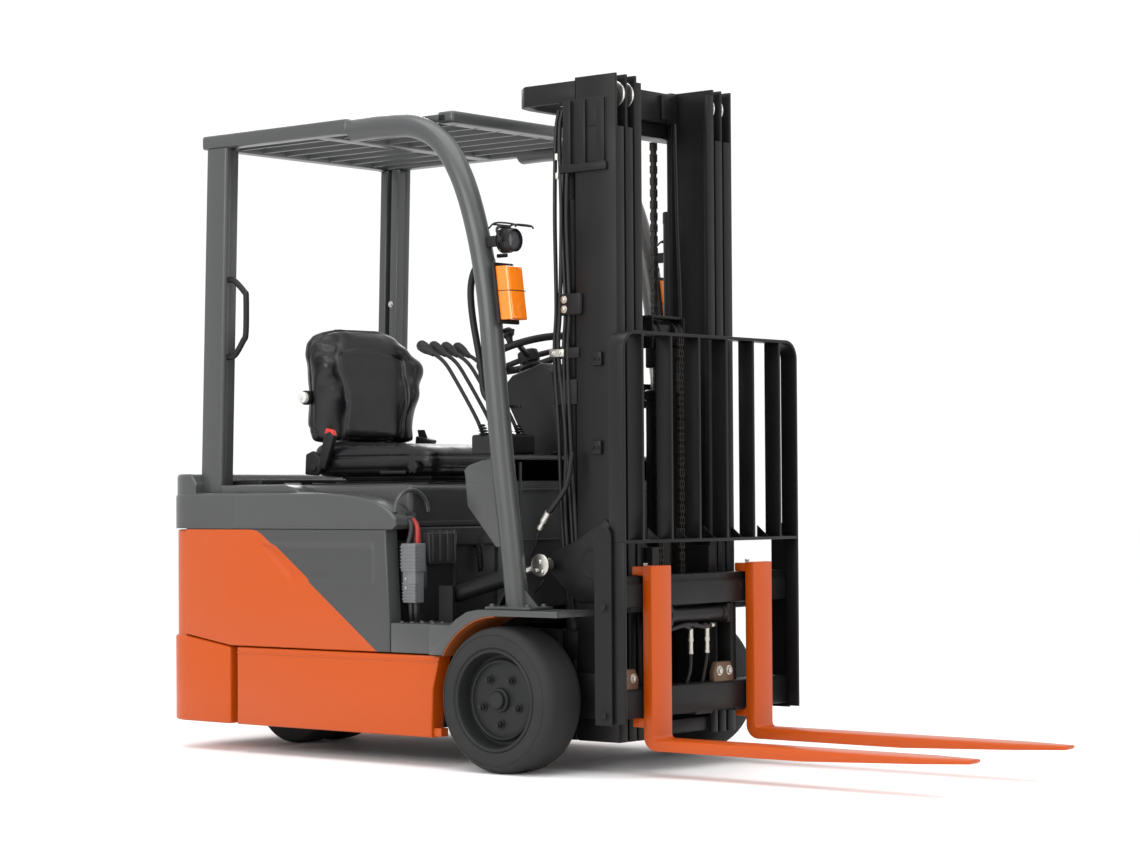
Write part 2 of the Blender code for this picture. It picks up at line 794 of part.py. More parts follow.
def make_rear_wheels():
    x = -wheelbase
    z = steer_tyre_radius
    pin_top = 0.600 - touch
    turntable = rod((x, 0, 0.545), (x, 0, pin_top), 0.130, 32)
    leg = block((x - 0.050, x + 0.050), (-steer_leg_half, steer_leg_half), (z, 0.560))
    boss = cross_rod(x, z, (-steer_leg_half, steer_leg_half), 0.050, 24)
    bore = cross_rod(x, z, (-0.1, 0.1), steer_axle_radius + slide_gap, 20)
    part("steer_knuckle", "frame_black", [turntable, leg, boss], cuts=[bore], pivot=(x, 0, pin_top))
    wide = steer_tyre_gap + steer_tyre_width
    shapes = [cross_rod(x, z, (-wide + 0.010, wide - 0.010), steer_axle_radius, 20)]
    for side, sign in sides():
        edge = 0.008
        tread = [
            (steer_rim_radius + 2 * touch, 0),
            (steer_tyre_radius - edge, 0),
            (steer_tyre_radius, edge),
            (steer_tyre_radius, steer_tyre_width - edge),
            (steer_tyre_radius - edge, steer_tyre_width),
            (steer_rim_radius + 2 * touch, steer_tyre_width),
        ]
        start = (x, sign * steer_tyre_gap, z)
        part(side + "_rear_tyre", "tyre_rubber", [ring(tread, start, (0, sign, 0), 40)], pivot=(x, 0, z))
        shapes.append(
            cross_rod(x, z, span(sign, steer_tyre_gap + 0.006, wide - 0.030), steer_rim_radius, 40),
        )
    part("rear_wheel_hub", "rim_grey", shapes, pivot=(x, 0, z))


# ---- mast ----
def rail(outer, wide, sign, top=mast_top):
    """A channel that opens towards the middle, as one outline seen from above."""
    a, b = outer, outer - wide
    w = outer - web
    r, f = mast_rear_x, mast_front_x
    line = [
        (r, a), (f, a), (f, b), (f - flange, b), (f - flange, w), (r + flange, w), (r + flange, b), (r, b),
    ]
    return slab([(x, sign * y) for x, y in line], "z", mast_bottom, top)


outer_half = mast_half
middle_half = outer_half - outer_flange_wide - rail_gap
inner_half_mast = middle_half - middle_flange_wide - rail_gap
inner_clear = inner_half_mast - inner_flange_wide


def tie(z, rear, thick, arm):
    """A U-shaped tie that joins the outer rails behind the cylinders."""
    line = [(mast_rear_x + 0.010, mast_half), (rear + 0.05, mast_half), (rear + 0.012, mast_half - 0.03)]
    line += [(rear, mast_half - 0.08)]
    outer = line + [(x, -y) for x, y in reversed(line)]
    inner = [
        (mast_rear_x + 0.010, mast_half - arm),
        (rear + 0.06, mast_half - arm),
        (rear + thick, mast_half - 0.09),
    ]
    inner = inner + [(x, -y) for x, y in reversed(inner)]
    return slab(outer + inner[::-1], "z", *z)


def make_masts():
    pivot = (0, 0, axle_height)
    shapes = []
    for _, sign in sides():
        shapes.append(rail(outer_half, outer_flange_wide, sign))
        y = span(sign, mast_half - 0.006, mast_half + 0.0115)
        shapes.append(block((0.0, mast_rear_x + 0.080), y, (axle_height - 0.060, axle_height + 0.080)))
        shapes.append(cross_rod(0, axle_height, y, 0.086, 28))
        lug = [
            (0.250, 0.760), (0.250, 0.540), (0.060, 0.612), (0.026, 0.632), (0.026, 0.660), (0.060, 0.690),
        ]
        shapes.append(slab(lug, "y", *span(sign, mast_half - 0.008, mast_half + 0.012)))
        shapes.append(cross_rod(*tilt_pin, span(sign, mast_half, tilt_y + 0.018), tilt_pin_radius, 16))
        shapes.append(block((lift_x - 0.033, 0.136), span(sign, 0.195, 0.300), (mast_bottom, 0.118)))
        shapes.append(block((0.132, 0.160), span(sign, 0.288, 0.300), (mast_bottom + 0.001, 0.200)))
    shapes.append(tie((0.350, 0.440), tie_rear_x, 0.020, tie_arm))
    shapes.append(tie((1.150, 1.230), tie_rear_x, 0.020, tie_arm))
    shapes.append(tie((2.105, mast_top - 0.008), bow_rear_x, 0.030, tie_arm))
    bore = cross_rod(0, axle_height, (-0.5, 0.5), axle_radius + slide_gap, 28)
    part("outer_mast", "mast_black", shapes, cuts=[bore], pivot=pivot)

    for side, sign in sides():
        place = (lift_x, sign * lift_y)
        tube_shape = rod((*place, 0.118 + touch), (*place, lift_tube_top), lift_tube_radius, 24)
        bore = rod((*place, 0.200), (*place, lift_tube_top + 0.1), lift_rod_radius + slide_gap, 20)
        part(side + "_lift_cylinder", "mast_black", [tube_shape], cuts=[bore], pivot=pivot)

    shapes = []
    for _, sign in sides():
        shapes.append(rail(middle_half, middle_flange_wide, sign))
        y = span(sign, middle_half - 0.001, outer_half - web - 0.001)
        shapes.append(cross_rod(roller_x, 0.300, y, roller_radius, 24))
        place = (lift_x, sign * lift_y)
        shapes.append(rod((*place, 0.220), (*place, 2.050), lift_rod_radius, 16))
    cross_x = mast_rear_x - run_gap
    reach = middle_half - middle_flange_wide + 0.008
    for x, half, z in ((0.060, lift_y + 0.022, (2.030, 2.098)), (0.110, reach, (0.130, 0.250))):
        shapes.append(block((x, cross_x), (-half, half), z))
        for y in both(middle_half - middle_flange_wide - 0.003, reach):
            shapes.append(block((cross_x - 0.010, mast_rear_x + 0.005), y, (z[0] + 0.002, z[1] - 0.002)))
    part("middle_mast", "mast_black", shapes, pivot=(0, 0, mast_bottom))

    shapes = []
    for _, sign in sides():
        shapes.append(rail(inner_half_mast, inner_flange_wide, sign))
        y = span(sign, inner_half_mast - 0.005, middle_half - web - 0.001)
        shapes.append(cross_rod(roller_x, 0.200, y, roller_radius, 24))
    shapes.append(
        block((mast_rear_x + 0.003, 0.180), (-inner_clear - 0.005, inner_clear + 0.005), (2.075, 2.172))
    )
    shapes.append(
        block(
            (mast_rear_x + 0.003, 0.300),
            (-inner_clear - 0.005, inner_clear + 0.005),
            (mast_bottom + 0.008, 0.150),
        )
    )
    part("inner_mast", "mast_black", shapes, pivot=(0, 0, mast_bottom))

    tube_shape = rod((free_x, 0, 0.150 + touch), (free_x, 0, free_tube_top), free_tube_radius, 24)
    bore = rod((free_x, 0, 0.300), (free_x, 0, free_tube_top + 0.1), free_rod_radius + slide_gap, 20)
    part("free_lift_cylinder", "mast_black", [tube_shape], cuts=[bore], pivot=(0, 0, mast_bottom))
    axle_z = head_bottom + 0.110
    shapes = [
        rod((free_x, 0, 0.350), (free_x, 0, head_bottom + 0.02), free_rod_radius, 20),
        block((free_x - 0.030, free_x + 0.030), (-0.030, 0.030), (head_bottom, axle_z + 0.03)),
        cross_rod(free_x, axle_z, (-0.085, 0.085), 0.014, 16),
        cross_rod(free_x, axle_z, (-0.075, -0.035), pulley_radius, 24),
        cross_rod(free_x, axle_z, (0.035, 0.075), pulley_radius, 24),
    ]
    part("free_lift_rod", "bright_steel", shapes, pivot=(0, 0, mast_bottom))


def make_tilt_cylinders():
    foot = Vector((tilt_anchor[0], 0, tilt_anchor[1]))
    head = Vector((tilt_pin[0], 0, tilt_pin[1]))
    along = (head - foot).normalized()
    for side, sign in sides():
        y = Vector((0, sign * tilt_y, 0))
        eye = span(sign, tilt_y - 0.016, tilt_y + 0.016)
        barrel = rod(foot + y + along * 0.010, foot + y + along * 0.250, 0.028, 20)
        bores = [
            rod(foot + y + along * 0.060, foot + y + along * 0.300, 0.0125 + slide_gap, 20),
            cross_rod(foot.x, foot.z, span(sign, 0.3, 0.4), tilt_pin_radius + slide_gap, 20),
        ]
        shapes = [barrel, cross_rod(foot.x, foot.z, eye, 0.026, 20)]
        part(side + "_tilt_cylinder", "mast_black", shapes, cuts=bores, pivot=foot + y)
        shapes = [
            rod(foot + y + along * 0.110, head + y - along * 0.015, 0.0125, 16),
            cross_rod(head.x, head.z, eye, 0.024, 20),
        ]
        bore = cross_rod(head.x, head.z, span(sign, 0.3, 0.4), tilt_pin_radius + 2 * slide_gap, 20)
        part(side + "_tilt_rod", "bright_steel", shapes, cuts=[bore], pivot=head + y)


# ---- carriage and forks ----
def make_carriage():
    shapes = []
    for _, sign in sides():
        shapes.append(
            block((0.200, carriage_x + 0.010), span(sign, 0.130, inner_clear - 0.008), (0.190, 0.700)),
        )
        for z in (0.260, 0.630):
            shapes.append(
                cross_rod(
                    roller_x,
                    z,
                    span(sign, inner_clear - 0.012, inner_half_mast - web - 0.004),
                    roller_radius,
                    24,
                ),
            )
    wide = (-0.340, 0.340)
    shapes.append(block((carriage_x, carriage_x + plate_thick), wide, (0.500, 0.600)))
    shapes.append(block((carriage_x, carriage_x + plate_thick), wide, (0.190, 0.260)))
    part("lift_carriage", "mast_black", shapes, pivot=(0, 0, upper_bar[0]))

    shapes = [
        block((bar_rear_x, bar_front_x), (-shifter_half - 0.003, shifter_half + 0.003), upper_bar),
        block((bar_rear_x, bar_front_x), (-shifter_half - 0.003, shifter_half + 0.003), lower_bar),
    ]
    for _, sign in sides():
        y = span(sign, shifter_half, shifter_half + side_plate_thick)
        shapes.append(block((bar_rear_x, 0.413), y, (0.165, 0.770)))
        shapes.append(block((bar_rear_x, 0.395), span(sign, 0.165, 0.195), (0.260, 0.530)))
    part("side_shift_frame", "mast_black", shapes, pivot=(0, 0, upper_bar[0]))


def make_backrest():
    half = shifter_half - touch
    r = backrest_corner
    x = backrest_x
    t = backrest_bar
    high = backrest_top
    low = 0.170
    outer = [(half, low)] + arc((half - r, high - r), r, 0, 90, 4)
    outer += arc((-half + r, high - r), r, 90, 180, 4) + [(-half, low)]
    inner = [(half - t, low)] + arc((half - r, high - r), r - t, 0, 90, 4)
    inner += arc((-half + r, high - r), r - t, 90, 180, 4) + [(-half + t, low)]
    shapes = [slab(outer + inner[::-1], "x", bar_front_x + touch, x[1])]
    upper = [(half, backrest_shelf - t)] + outer[1:-1] + [
        (-half, backrest_shelf - t), (-half + t, backrest_shelf - t),
    ]
    upper += inner[-2:0:-1] + [(half - t, backrest_shelf - t)]
    shapes.append(slab(upper, "x", x[0], x[1] - touch))
    shapes.append(block(x, (-half + 0.001, half - 0.001), (backrest_shelf - t, backrest_shelf)))
    for i in range(6):
        y = backrest_bar_pitch * (i - 2.5)
        shapes.append(block(x, (y - t / 2, y + t / 2), (backrest_shelf - 0.005, high - 0.003)))
    part("load_backrest", "mast_black", shapes, pivot=(0, 0, backrest_shelf))


def make_forks():
    heel = 0.045
    line = [(fork_front_x - fork_thick, fork_top), (fork_front_x - fork_thick, fork_bottom + heel)]
    line += arc((fork_front_x - fork_thick + heel, fork_bottom + heel), heel, 180, 270, 4)[1:]
    line += [(1.000, fork_bottom)]
    line += [
        (fork_tip_x, fork_bottom + fork_thick - fork_tip_thick), (fork_tip_x, fork_bottom + fork_thick),
    ]
    line += [
        (fork_front_x + 0.012, fork_bottom + fork_thick), (fork_front_x, fork_bottom + fork_thick + 0.012),
    ]
    line += [(fork_front_x, fork_top)]
    for side, sign in sides():
        y = sign * fork_y
        half = fork_wide / 2
        body = slab(line, "y", y - half, y + half)
        top_hook = block(
            (0.372, fork_front_x - 0.020),
            (y - half, y + half),
            (upper_bar[1] + slide_gap, fork_top - 0.004),
        )
        low_hook = block(
            (0.372, fork_front_x - 0.020), (y - half, y + half), (0.150, lower_bar[0] - slide_gap),
        )
        tip = []
        for edge in (-1, 1):
            corner = [
                (1.400, y + edge * (half + 0.001)),
                (1.6, y + edge * (half + 0.001)),
                (1.6, y + edge * 0.018),
            ]
            tip.append(slab(corner, "z", 0, 0.2))
        part(
            side + "_fork",
            "orange_paint",
            [body, top_hook, low_hook],
            cuts=tip,
            pivot=(fork_front_x, y, fork_top),
        )


# ---- battery connector ----
def make_connector():
    x, y = connector_x, -0.446
    part(
        "battery_connector",
        "connector_grey",
        [
            block((x - 0.032, x + 0.032), (y - 0.026, y + 0.026), (0.620, 0.712)),
            block((x - 0.029, x + 0.029), (y - 0.023, y + 0.023), (0.520, 0.640)),
        ],
    )
    for name, paint, shift in (
        ("red_battery_cable", "red_cable", 0.014), ("black_battery_cable", "black_cable", -0.014),
    ):
        path = [
            (-0.438, y + shift + 0.02, 0.800),
            (-0.4313, y + shift + 0.01, 0.780),
            (x, y + shift, 0.750),
            (x, y + shift, 0.712 + touch),
        ]
        part(name, paint, [tube(smooth_path(path, 4), 0.009, 2)])


make_frame()
make_battery()
make_counterweight()
make_side_panels()
make_fenders()
make_deck()
make_hood()
make_floor()
make_cowl()
make_levers()
make_guard()
make_lamps()
make_front_wheels()
make_drive_axle()
make_rear_wheels()
make_masts()
make_tilt_cylinders()
make_carriage()
make_backrest()
make_forks()
make_connector()
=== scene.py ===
import math

import bmesh
import bpy
from mathutils import Matrix, Vector
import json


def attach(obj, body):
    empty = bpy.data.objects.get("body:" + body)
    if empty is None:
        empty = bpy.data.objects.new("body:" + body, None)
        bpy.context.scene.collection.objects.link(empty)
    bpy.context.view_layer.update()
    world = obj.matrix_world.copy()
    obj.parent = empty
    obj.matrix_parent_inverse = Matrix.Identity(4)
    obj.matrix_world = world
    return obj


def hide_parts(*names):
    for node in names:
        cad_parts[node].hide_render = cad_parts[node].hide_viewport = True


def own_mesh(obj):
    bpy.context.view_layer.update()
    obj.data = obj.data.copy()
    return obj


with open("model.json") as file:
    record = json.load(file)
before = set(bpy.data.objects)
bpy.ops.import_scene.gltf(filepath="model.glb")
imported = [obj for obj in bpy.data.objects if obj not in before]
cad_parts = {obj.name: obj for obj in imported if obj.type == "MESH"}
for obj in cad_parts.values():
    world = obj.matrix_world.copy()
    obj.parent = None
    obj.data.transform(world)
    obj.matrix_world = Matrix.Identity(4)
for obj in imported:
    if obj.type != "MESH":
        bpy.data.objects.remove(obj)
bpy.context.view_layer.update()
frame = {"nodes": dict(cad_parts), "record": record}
axleX = 0.015  # front axle, from the middle of the truck


# shader maths
# A node socket that can be added, multiplied and compared
class Sock:
    def __init__(self, nodes, socket):
        self.nodes, self.socket = nodes, socket

    def math(self, operation, other=None, clamp=False):
        inputs = {0: self} if other is None else {0: self, 1: other}
        return self.nodes.make("Math", {"operation": operation, "use_clamp": clamp}, inputs)

    def __add__(self, other):
        return self.math("ADD", other)

    def __radd__(self, other):
        return self.math("ADD", other)

    def __sub__(self, other):
        return self.math("SUBTRACT", other)

    def __rsub__(self, other):
        return self.nodes.make("Math", {"operation": "SUBTRACT"}, {0: other, 1: self})

    def __mul__(self, other):
        return self.math("MULTIPLY", other)

    def __rmul__(self, other):
        return self.math("MULTIPLY", other)

    def above(self, other):
        return self.math("GREATER_THAN", other)

    def ramp(self, low, high, start=0.0, end=1.0):
        values = {"Value": self, "From Min": low, "From Max": high, "To Min": start, "To Max": end}
        return self.nodes.make("MapRange", {"clamp": True, "interpolation_type": "SMOOTHSTEP"}, values)


class Nodes:
    def __init__(self, name):
        self.material = bpy.data.materials.new(name)
        self.material.use_nodes = True
        self.tree = self.material.node_tree
        self.shader = self.tree.nodes["Principled BSDF"]

    def make(self, kind, settings=None, inputs=None, output=0):
        node = self.tree.nodes.new("ShaderNode" + kind)
        for name, value in (settings or {}).items():
            setattr(node, name, value)
        for name, value in (inputs or {}).items():
            self.feed(node.inputs[name], value)
        return Sock(self, node.outputs[output])

    def feed(self, socket, value):
        if isinstance(value, Sock):
            self.tree.links.new(value.socket, socket)
        else:
            socket.default_value = value

    def place(self):
        return self.make("TexCoord", output="Object")

    def xyz(self):
        node = self.tree.nodes.new("ShaderNodeSeparateXYZ")
        self.feed(node.inputs[0], self.place())
        return [Sock(self, out) for out in node.outputs]

    def noise(self, scale, detail=3.0, roughness=0.5, stretch=(1, 1, 1), output="Fac"):
        at = self.make("Mapping", {}, {"Vector": self.place(), "Scale": stretch})
        return self.make(
            "TexNoise", {}, {"Vector": at, "Scale": scale, "Detail": detail, "Roughness": roughness}, output,
        )

    def mix(self, factor, a, b):
        node = self.tree.nodes.new("ShaderNodeMix")
        node.data_type = "RGBA"
        for name, value in (("Factor_Float", factor), ("A_Color", a), ("B_Color", b)):
            socket = next(s for s in node.inputs if s.identifier == name)
            self.feed(socket, value)
        return Sock(self, next(s for s in node.outputs if s.identifier == "Result_Color"))

    def bump(self, height, strength, distance, under=None):
        inputs = {"Height": height, "Strength": strength, "Distance": distance}
        if under is not None:
            inputs["Normal"] = under
        return self.make("Bump", {}, inputs)

    def set(self, **values):
        for name, value in values.items():
            self.feed(self.shader.inputs[name.replace("_", " ")], value)
        return self.material


# One row a finish: colour, roughness, how much roughness varies, metallic, coat,
# bump height in mm, bump scale.
finishes = {
    "orange_paint": dict(
        colour=(0.42, 0.060, 0.002),
        rough=0.36,
        vary=0.06,
        metal=0,
        coat=0.1,
        shine=0.25,
        bump=0.05,
        scale=260,
    ),
    "grey_paint": dict(
        colour=(0.046, 0.047, 0.048),
        rough=0.34,
        vary=0.08,
        metal=0,
        coat=0.1,
        shine=0.42,
        bump=0.08,
        scale=420,
    ),
    "mast_black": dict(
        colour=(0.007, 0.007, 0.0075), rough=0.4, vary=0.12, metal=0, coat=0, shine=0.2, bump=0.06, scale=220,
    ),
    "frame_black": dict(
        colour=(0.009, 0.009, 0.009), rough=0.55, vary=0.1, metal=0, coat=0, shine=0.2, bump=0.08, scale=220,
    ),
    "tyre_rubber": dict(
        colour=(0.021, 0.021, 0.0215),
        rough=0.72,
        vary=0.12,
        metal=0,
        coat=0,
        shine=0.2,
        bump=0.12,
        scale=140,
    ),
    "rim_grey": dict(
        colour=(0.0105, 0.011, 0.0115),
        rough=0.5,
        vary=0.12,
        metal=0,
        coat=0,
        shine=0.25,
        bump=0.25,
        scale=180,
    ),
    "bright_steel": dict(
        colour=(0.62, 0.61, 0.59), rough=0.3, vary=0.12, metal=1, coat=0, bump=0.03, scale=200,
    ),
    "black_plastic": dict(
        colour=(0.0085, 0.0085, 0.009),
        rough=0.48,
        vary=0.08,
        metal=0,
        coat=0,
        shine=0.25,
        bump=0.1,
        scale=500,
    ),
    "seat_vinyl": dict(
        colour=(0.0045, 0.0045, 0.0055),
        rough=0.3,
        vary=0.1,
        metal=0,
        coat=0,
        shine=0.35,
        bump=0.35,
        scale=420,
    ),
    "amber_lens": dict(
        colour=(0.78, 0.185, 0.008), rough=0.14, vary=0.0, metal=0, coat=0.5, bump=0.0, scale=1,
    ),
    "connector_grey": dict(
        colour=(0.12, 0.125, 0.13), rough=0.5, vary=0.08, metal=0, coat=0, shine=0.3, bump=0.08, scale=300,
    ),
    "red_cable": dict(colour=(0.3, 0.013, 0.01), rough=0.5, vary=0.05, metal=0, coat=0, bump=0.0, scale=1),
    "black_cable": dict(
        colour=(0.006, 0.006, 0.006), rough=0.5, vary=0.05, metal=0, coat=0, bump=0.0, scale=1,
    ),
    "battery_grey": dict(colour=(0.05, 0.05, 0.05), rough=0.5, vary=0.05, metal=0, coat=0, bump=0.0, scale=1),
    "hose_rubber": dict(
        colour=(0.005, 0.005, 0.005), rough=0.42, vary=0.08, metal=0, coat=0, shine=0.3, bump=0.05, scale=300,
    ),
    "chain_steel": dict(
        colour=(0.05, 0.045, 0.04), rough=0.42, vary=0.1, metal=0.8, coat=0, bump=0.0, scale=1,
    ),
    "zinc": dict(colour=(0.5, 0.49, 0.45), rough=0.35, vary=0.12, metal=1, coat=0, bump=0.0, scale=1),
    "brown_steel": dict(
        colour=(0.12, 0.075, 0.045), rough=0.5, vary=0.1, metal=0.5, coat=0, bump=0.1, scale=200,
    ),
    "bore_black": dict(colour=(0.004, 0.004, 0.004), rough=0.8, vary=0.0, metal=0, coat=0, bump=0.0, scale=1),
    "knob_white": dict(colour=(0.6, 0.6, 0.58), rough=0.4, vary=0.0, metal=0, coat=0, bump=0.0, scale=1),
    "belt_red": dict(colour=(0.55, 0.02, 0.015), rough=0.4, vary=0.0, metal=0, coat=0, bump=0.0, scale=1),
    # orange paint darkened as painted shade, for the underside of the fender arch
    "arch_orange_painted_shade": dict(
        colour=(0.30, 0.075, 0.012), rough=0.55, vary=0.1, metal=0, coat=0, bump=0.1, scale=200,
    ),
    "hood_plastic": dict(
        colour=(0.030, 0.030, 0.032), rough=0.42, vary=0.08, metal=0, coat=0.05, bump=0.1, scale=500,
    ),
    "lamp_lens": dict(
        colour=(0.10, 0.10, 0.105), rough=0.10, vary=0.0, metal=0.3, coat=0.4, bump=0.0, scale=1,
    ),
}


def finish(name):
    f = finishes[name]
    n = Nodes(name)
    values = dict(Base_Color=(*f["colour"], 1), Metallic=float(f["metal"]), Coat_Weight=float(f["coat"]))
    values["Coat_Roughness"] = 0.12
    values["Specular_IOR_Level"] = f.get("shine", 0.5)
    values["Roughness"] = f["rough"]
    if f["vary"]:
        values["Roughness"] = n.noise(9, 4, 0.6).ramp(
            0.3, 0.7, f["rough"] - f["vary"] / 2, f["rough"] + f["vary"] / 2,
        )
    soft = n.make("Bevel", {"samples": 4}, {"Radius": 0.0018})
    if f["bump"]:
        values["Normal"] = n.bump(n.noise(f["scale"], 2), 0.5, f["bump"] / 1000, soft)
    else:
        values["Normal"] = soft
    return n.set(**values)


finishOf = {name: finish(name) for name in finishes}
for sub in frame["record"]["subparts"]:
    node = frame["nodes"][sub["node"]]
    node.data.materials.clear()
    node.data.materials.append(finishOf[sub["material_slot"]])
print("materials set")

# shapes, laid out from the front axle
def box(x, y, z):
    bm = bmesh.new()
    bmesh.ops.create_cube(bm, size=1)
    bmesh.ops.scale(bm, vec=(x[1] - x[0], y[1] - y[0], z[1] - z[0]), verts=bm.verts)
    bmesh.ops.translate(bm, vec=((x[0] + x[1]) / 2, (y[0] + y[1]) / 2, (z[0] + z[1]) / 2), verts=bm.verts)
    return bm


# An outline in two of X, Y, Z, in that order, made solid along the third
def slab(outline, axis, low, high):
    bm = bmesh.new()
    put = {"x": lambda a, b: (low, a, b), "y": lambda a, b: (a, low, b), "z": lambda a, b: (a, b, low)}[axis]
    face = bm.faces.new([bm.verts.new(put(a, b)) for a, b in outline])
    made = bmesh.ops.extrude_face_region(bm, geom=[face])
    step = Vector([high - low if axis == name else 0 for name in "xyz"])
    bmesh.ops.translate(bm, vec=step, verts=[g for g in made["geom"] if isinstance(g, bmesh.types.BMVert)])
    bmesh.ops.recalc_face_normals(bm, faces=bm.faces)
    return bm


# Bevels the sharp edges, or those that pick chooses
def rounded(bm, width, segments=3, pick=None, angle=30):
    bm.normal_update()
    sharp = [e for e in bm.edges if len(e.link_faces) == 2 and e.calc_face_angle() > math.radians(angle)]
    edges = [e for e in sharp if pick is None or pick((e.verts[0].co + e.verts[1].co) / 2, e)]
    if edges:
        bmesh.ops.bevel(
            bm,
            geom=edges,
            offset=width,
            segments=segments,
            profile=0.5,
            affect="EDGES",
            material=-1,
            clamp_overlap=True,
        )
    return bm


def bar(start, end, radius, sides=24, endRadius=None):
    start, end = Vector(start), Vector(end)
    bm = bmesh.new()
    last = radius if endRadius is None else endRadius
    bmesh.ops.create_cone(
        bm, cap_ends=True, segments=sides, radius1=radius, radius2=last, depth=(end - start).length,
    )
    turn = (end - start).to_track_quat("Z", "Y").to_matrix().to_4x4()
    bmesh.ops.transform(bm, matrix=Matrix.Translation((start + end) / 2) @ turn, verts=bm.verts)
    return bm


def crossBar(x, z, y, radius, sides=24):
    return bar((x, y[0], z), (x, y[1], z), radius, sides)


# A line of (radius, distance along the axis) turned round the axis
def lathe(profile, centre, axis, steps=64, closed=True):
    bm = bmesh.new()
    verts = [bm.verts.new((radius, 0, along)) for radius, along in profile]
    pairs = zip(verts, verts[1:] + verts[:1]) if closed else zip(verts, verts[1:])
    edges = [bm.edges.new(pair) for pair in pairs]
    bmesh.ops.spin(
        bm,
        geom=verts + edges,
        cent=(0, 0, 0),
        axis=(0, 0, 1),
        angle=2 * math.pi,
        steps=steps,
        use_merge=True,
    )
    turn = Vector(axis).to_track_quat("Z", "Y").to_matrix().to_4x4()
    bmesh.ops.transform(bm, matrix=Matrix.Translation(centre) @ turn, verts=bm.verts)
    bmesh.ops.recalc_face_normals(bm, faces=bm.faces)
    return bm


# Points on a Catmull-Rom curve through the given ones
def curved(points, steps=8):
    at = [Vector(p) for p in points]
    at = [2 * at[0] - at[1]] + at + [2 * at[-1] - at[-2]]
    path = []
    for a, b, c, d in zip(at, at[1:], at[2:], at[3:]):
        for i in range(steps):
            t = i / steps
            path.append(
                0.5 * (
                    2 * b + (c - a) * t + (2 * a - 5 * b + 4 * c - d) * t**2 + (3 * b - a - 3 * c + d) * t**3
                ),
            )
    return path + [at[-2]]


def tube(points, radius, resolution=3):
    curve = bpy.data.curves.new("path", "CURVE")
    curve.dimensions = "3D"
    curve.bevel_depth = radius
    curve.bevel_resolution = resolution
    curve.use_fill_caps = True
    spline = curve.splines.new("POLY")
    spline.points.add(len(points) - 1)
    for point, place in zip(spline.points, points):
        point.co = (*place, 1)
    guide = bpy.data.objects.new("path", curve)
    mesh = bpy.data.meshes.new_from_object(guide)
    bm = bmesh.new()
    bm.from_mesh(mesh)
    bmesh.ops.remove_doubles(bm, verts=bm.verts, dist=0.00001)
    bmesh.ops.recalc_face_normals(bm, faces=bm.faces)
    bpy.data.objects.remove(guide)
    bpy.data.curves.remove(curve)
    bpy.data.meshes.remove(mesh)
    return bm


def arcPoints(centre, radius, start, end, steps=8):
    angles = [math.radians(start + (end - start) * i / steps) for i in range(steps + 1)]
    return [(centre[0] + radius * math.cos(a), centre[1] + radius * math.sin(a)) for a in angles]


# A hexagon nut or bolt head with its washer
def nut(place, axis, width, thick, washer=True):
    place, axis = Vector(place), Vector(axis).normalized()
    shapes = [rounded(bar(place, place + axis * thick, width / 2, 6), width * 0.05, 2)]
    if washer:
        shapes.append(bar(place - axis * 0.001, place + axis * thick * 0.22, width * 0.72, 20))
    return shapes


def span(sign, low, high):
    return (low, high) if sign > 0 else (-high, -low)


def piece(name, body, paint, shapes, replaced=(), sharp=32):
    merged = bmesh.new()
    for shape in shapes:
        passing = bpy.data.meshes.new("passing")
        shape.to_mesh(passing)
        merged.from_mesh(passing)
        bpy.data.meshes.remove(passing)
        shape.free()
    bmesh.ops.translate(merged, vec=(axleX, 0, 0), verts=merged.verts)
    mesh = bpy.data.meshes.new(name)
    merged.to_mesh(mesh)
    merged.free()
    obj = bpy.data.objects.new(name, mesh)
    bpy.context.scene.collection.objects.link(obj)
    mesh.materials.append(finishOf[paint])
    mesh.shade_smooth()
    mesh.set_sharp_from_angle(angle=math.radians(sharp))
    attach(obj, body)
    if replaced:
        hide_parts(*([replaced] if isinstance(replaced, str) else replaced))
    return obj


sides = (("right", -1), ("left", 1))

# body
body = dict(
    half=0.506,
    rear=-1.600,
    curveX=-1.400,
    power=3.5,
    low=0.096,
    split=0.390,
    skirtTop=0.357,
    panelTop=0.757,
    deckTop=0.880,
)
stripe = dict(high=(-1.098, 0.762), low=(-0.549, 0.374), cornerRound=0.030)


# Plan outline of the truck's rear, from the right to the left side
def rearLine(front, half, reach, steps=22):
    deep = body["curveX"] - reach
    power = body["power"]
    line = [(front, half)]
    for i in range(steps + 1):
        angle = math.pi / 2 * i / steps
        x = body["curveX"] - deep * math.sin(angle) ** (2 / power)
        if x < front - 0.002:
            line.append((x, half * math.cos(angle) ** (2 / power)))
    return line + [(x, -y) for x, y in reversed(line[:-1])]


def cutAbove(bm, point, normal):
    made = bmesh.ops.bisect_plane(
        bm, geom=bm.verts[:] + bm.edges[:] + bm.faces[:], plane_co=point, plane_no=normal, clear_outer=True,
    )
    edges = [g for g in made["geom_cut"] if isinstance(g, bmesh.types.BMEdge)]
    bmesh.ops.holes_fill(bm, edges=edges)
    return bm


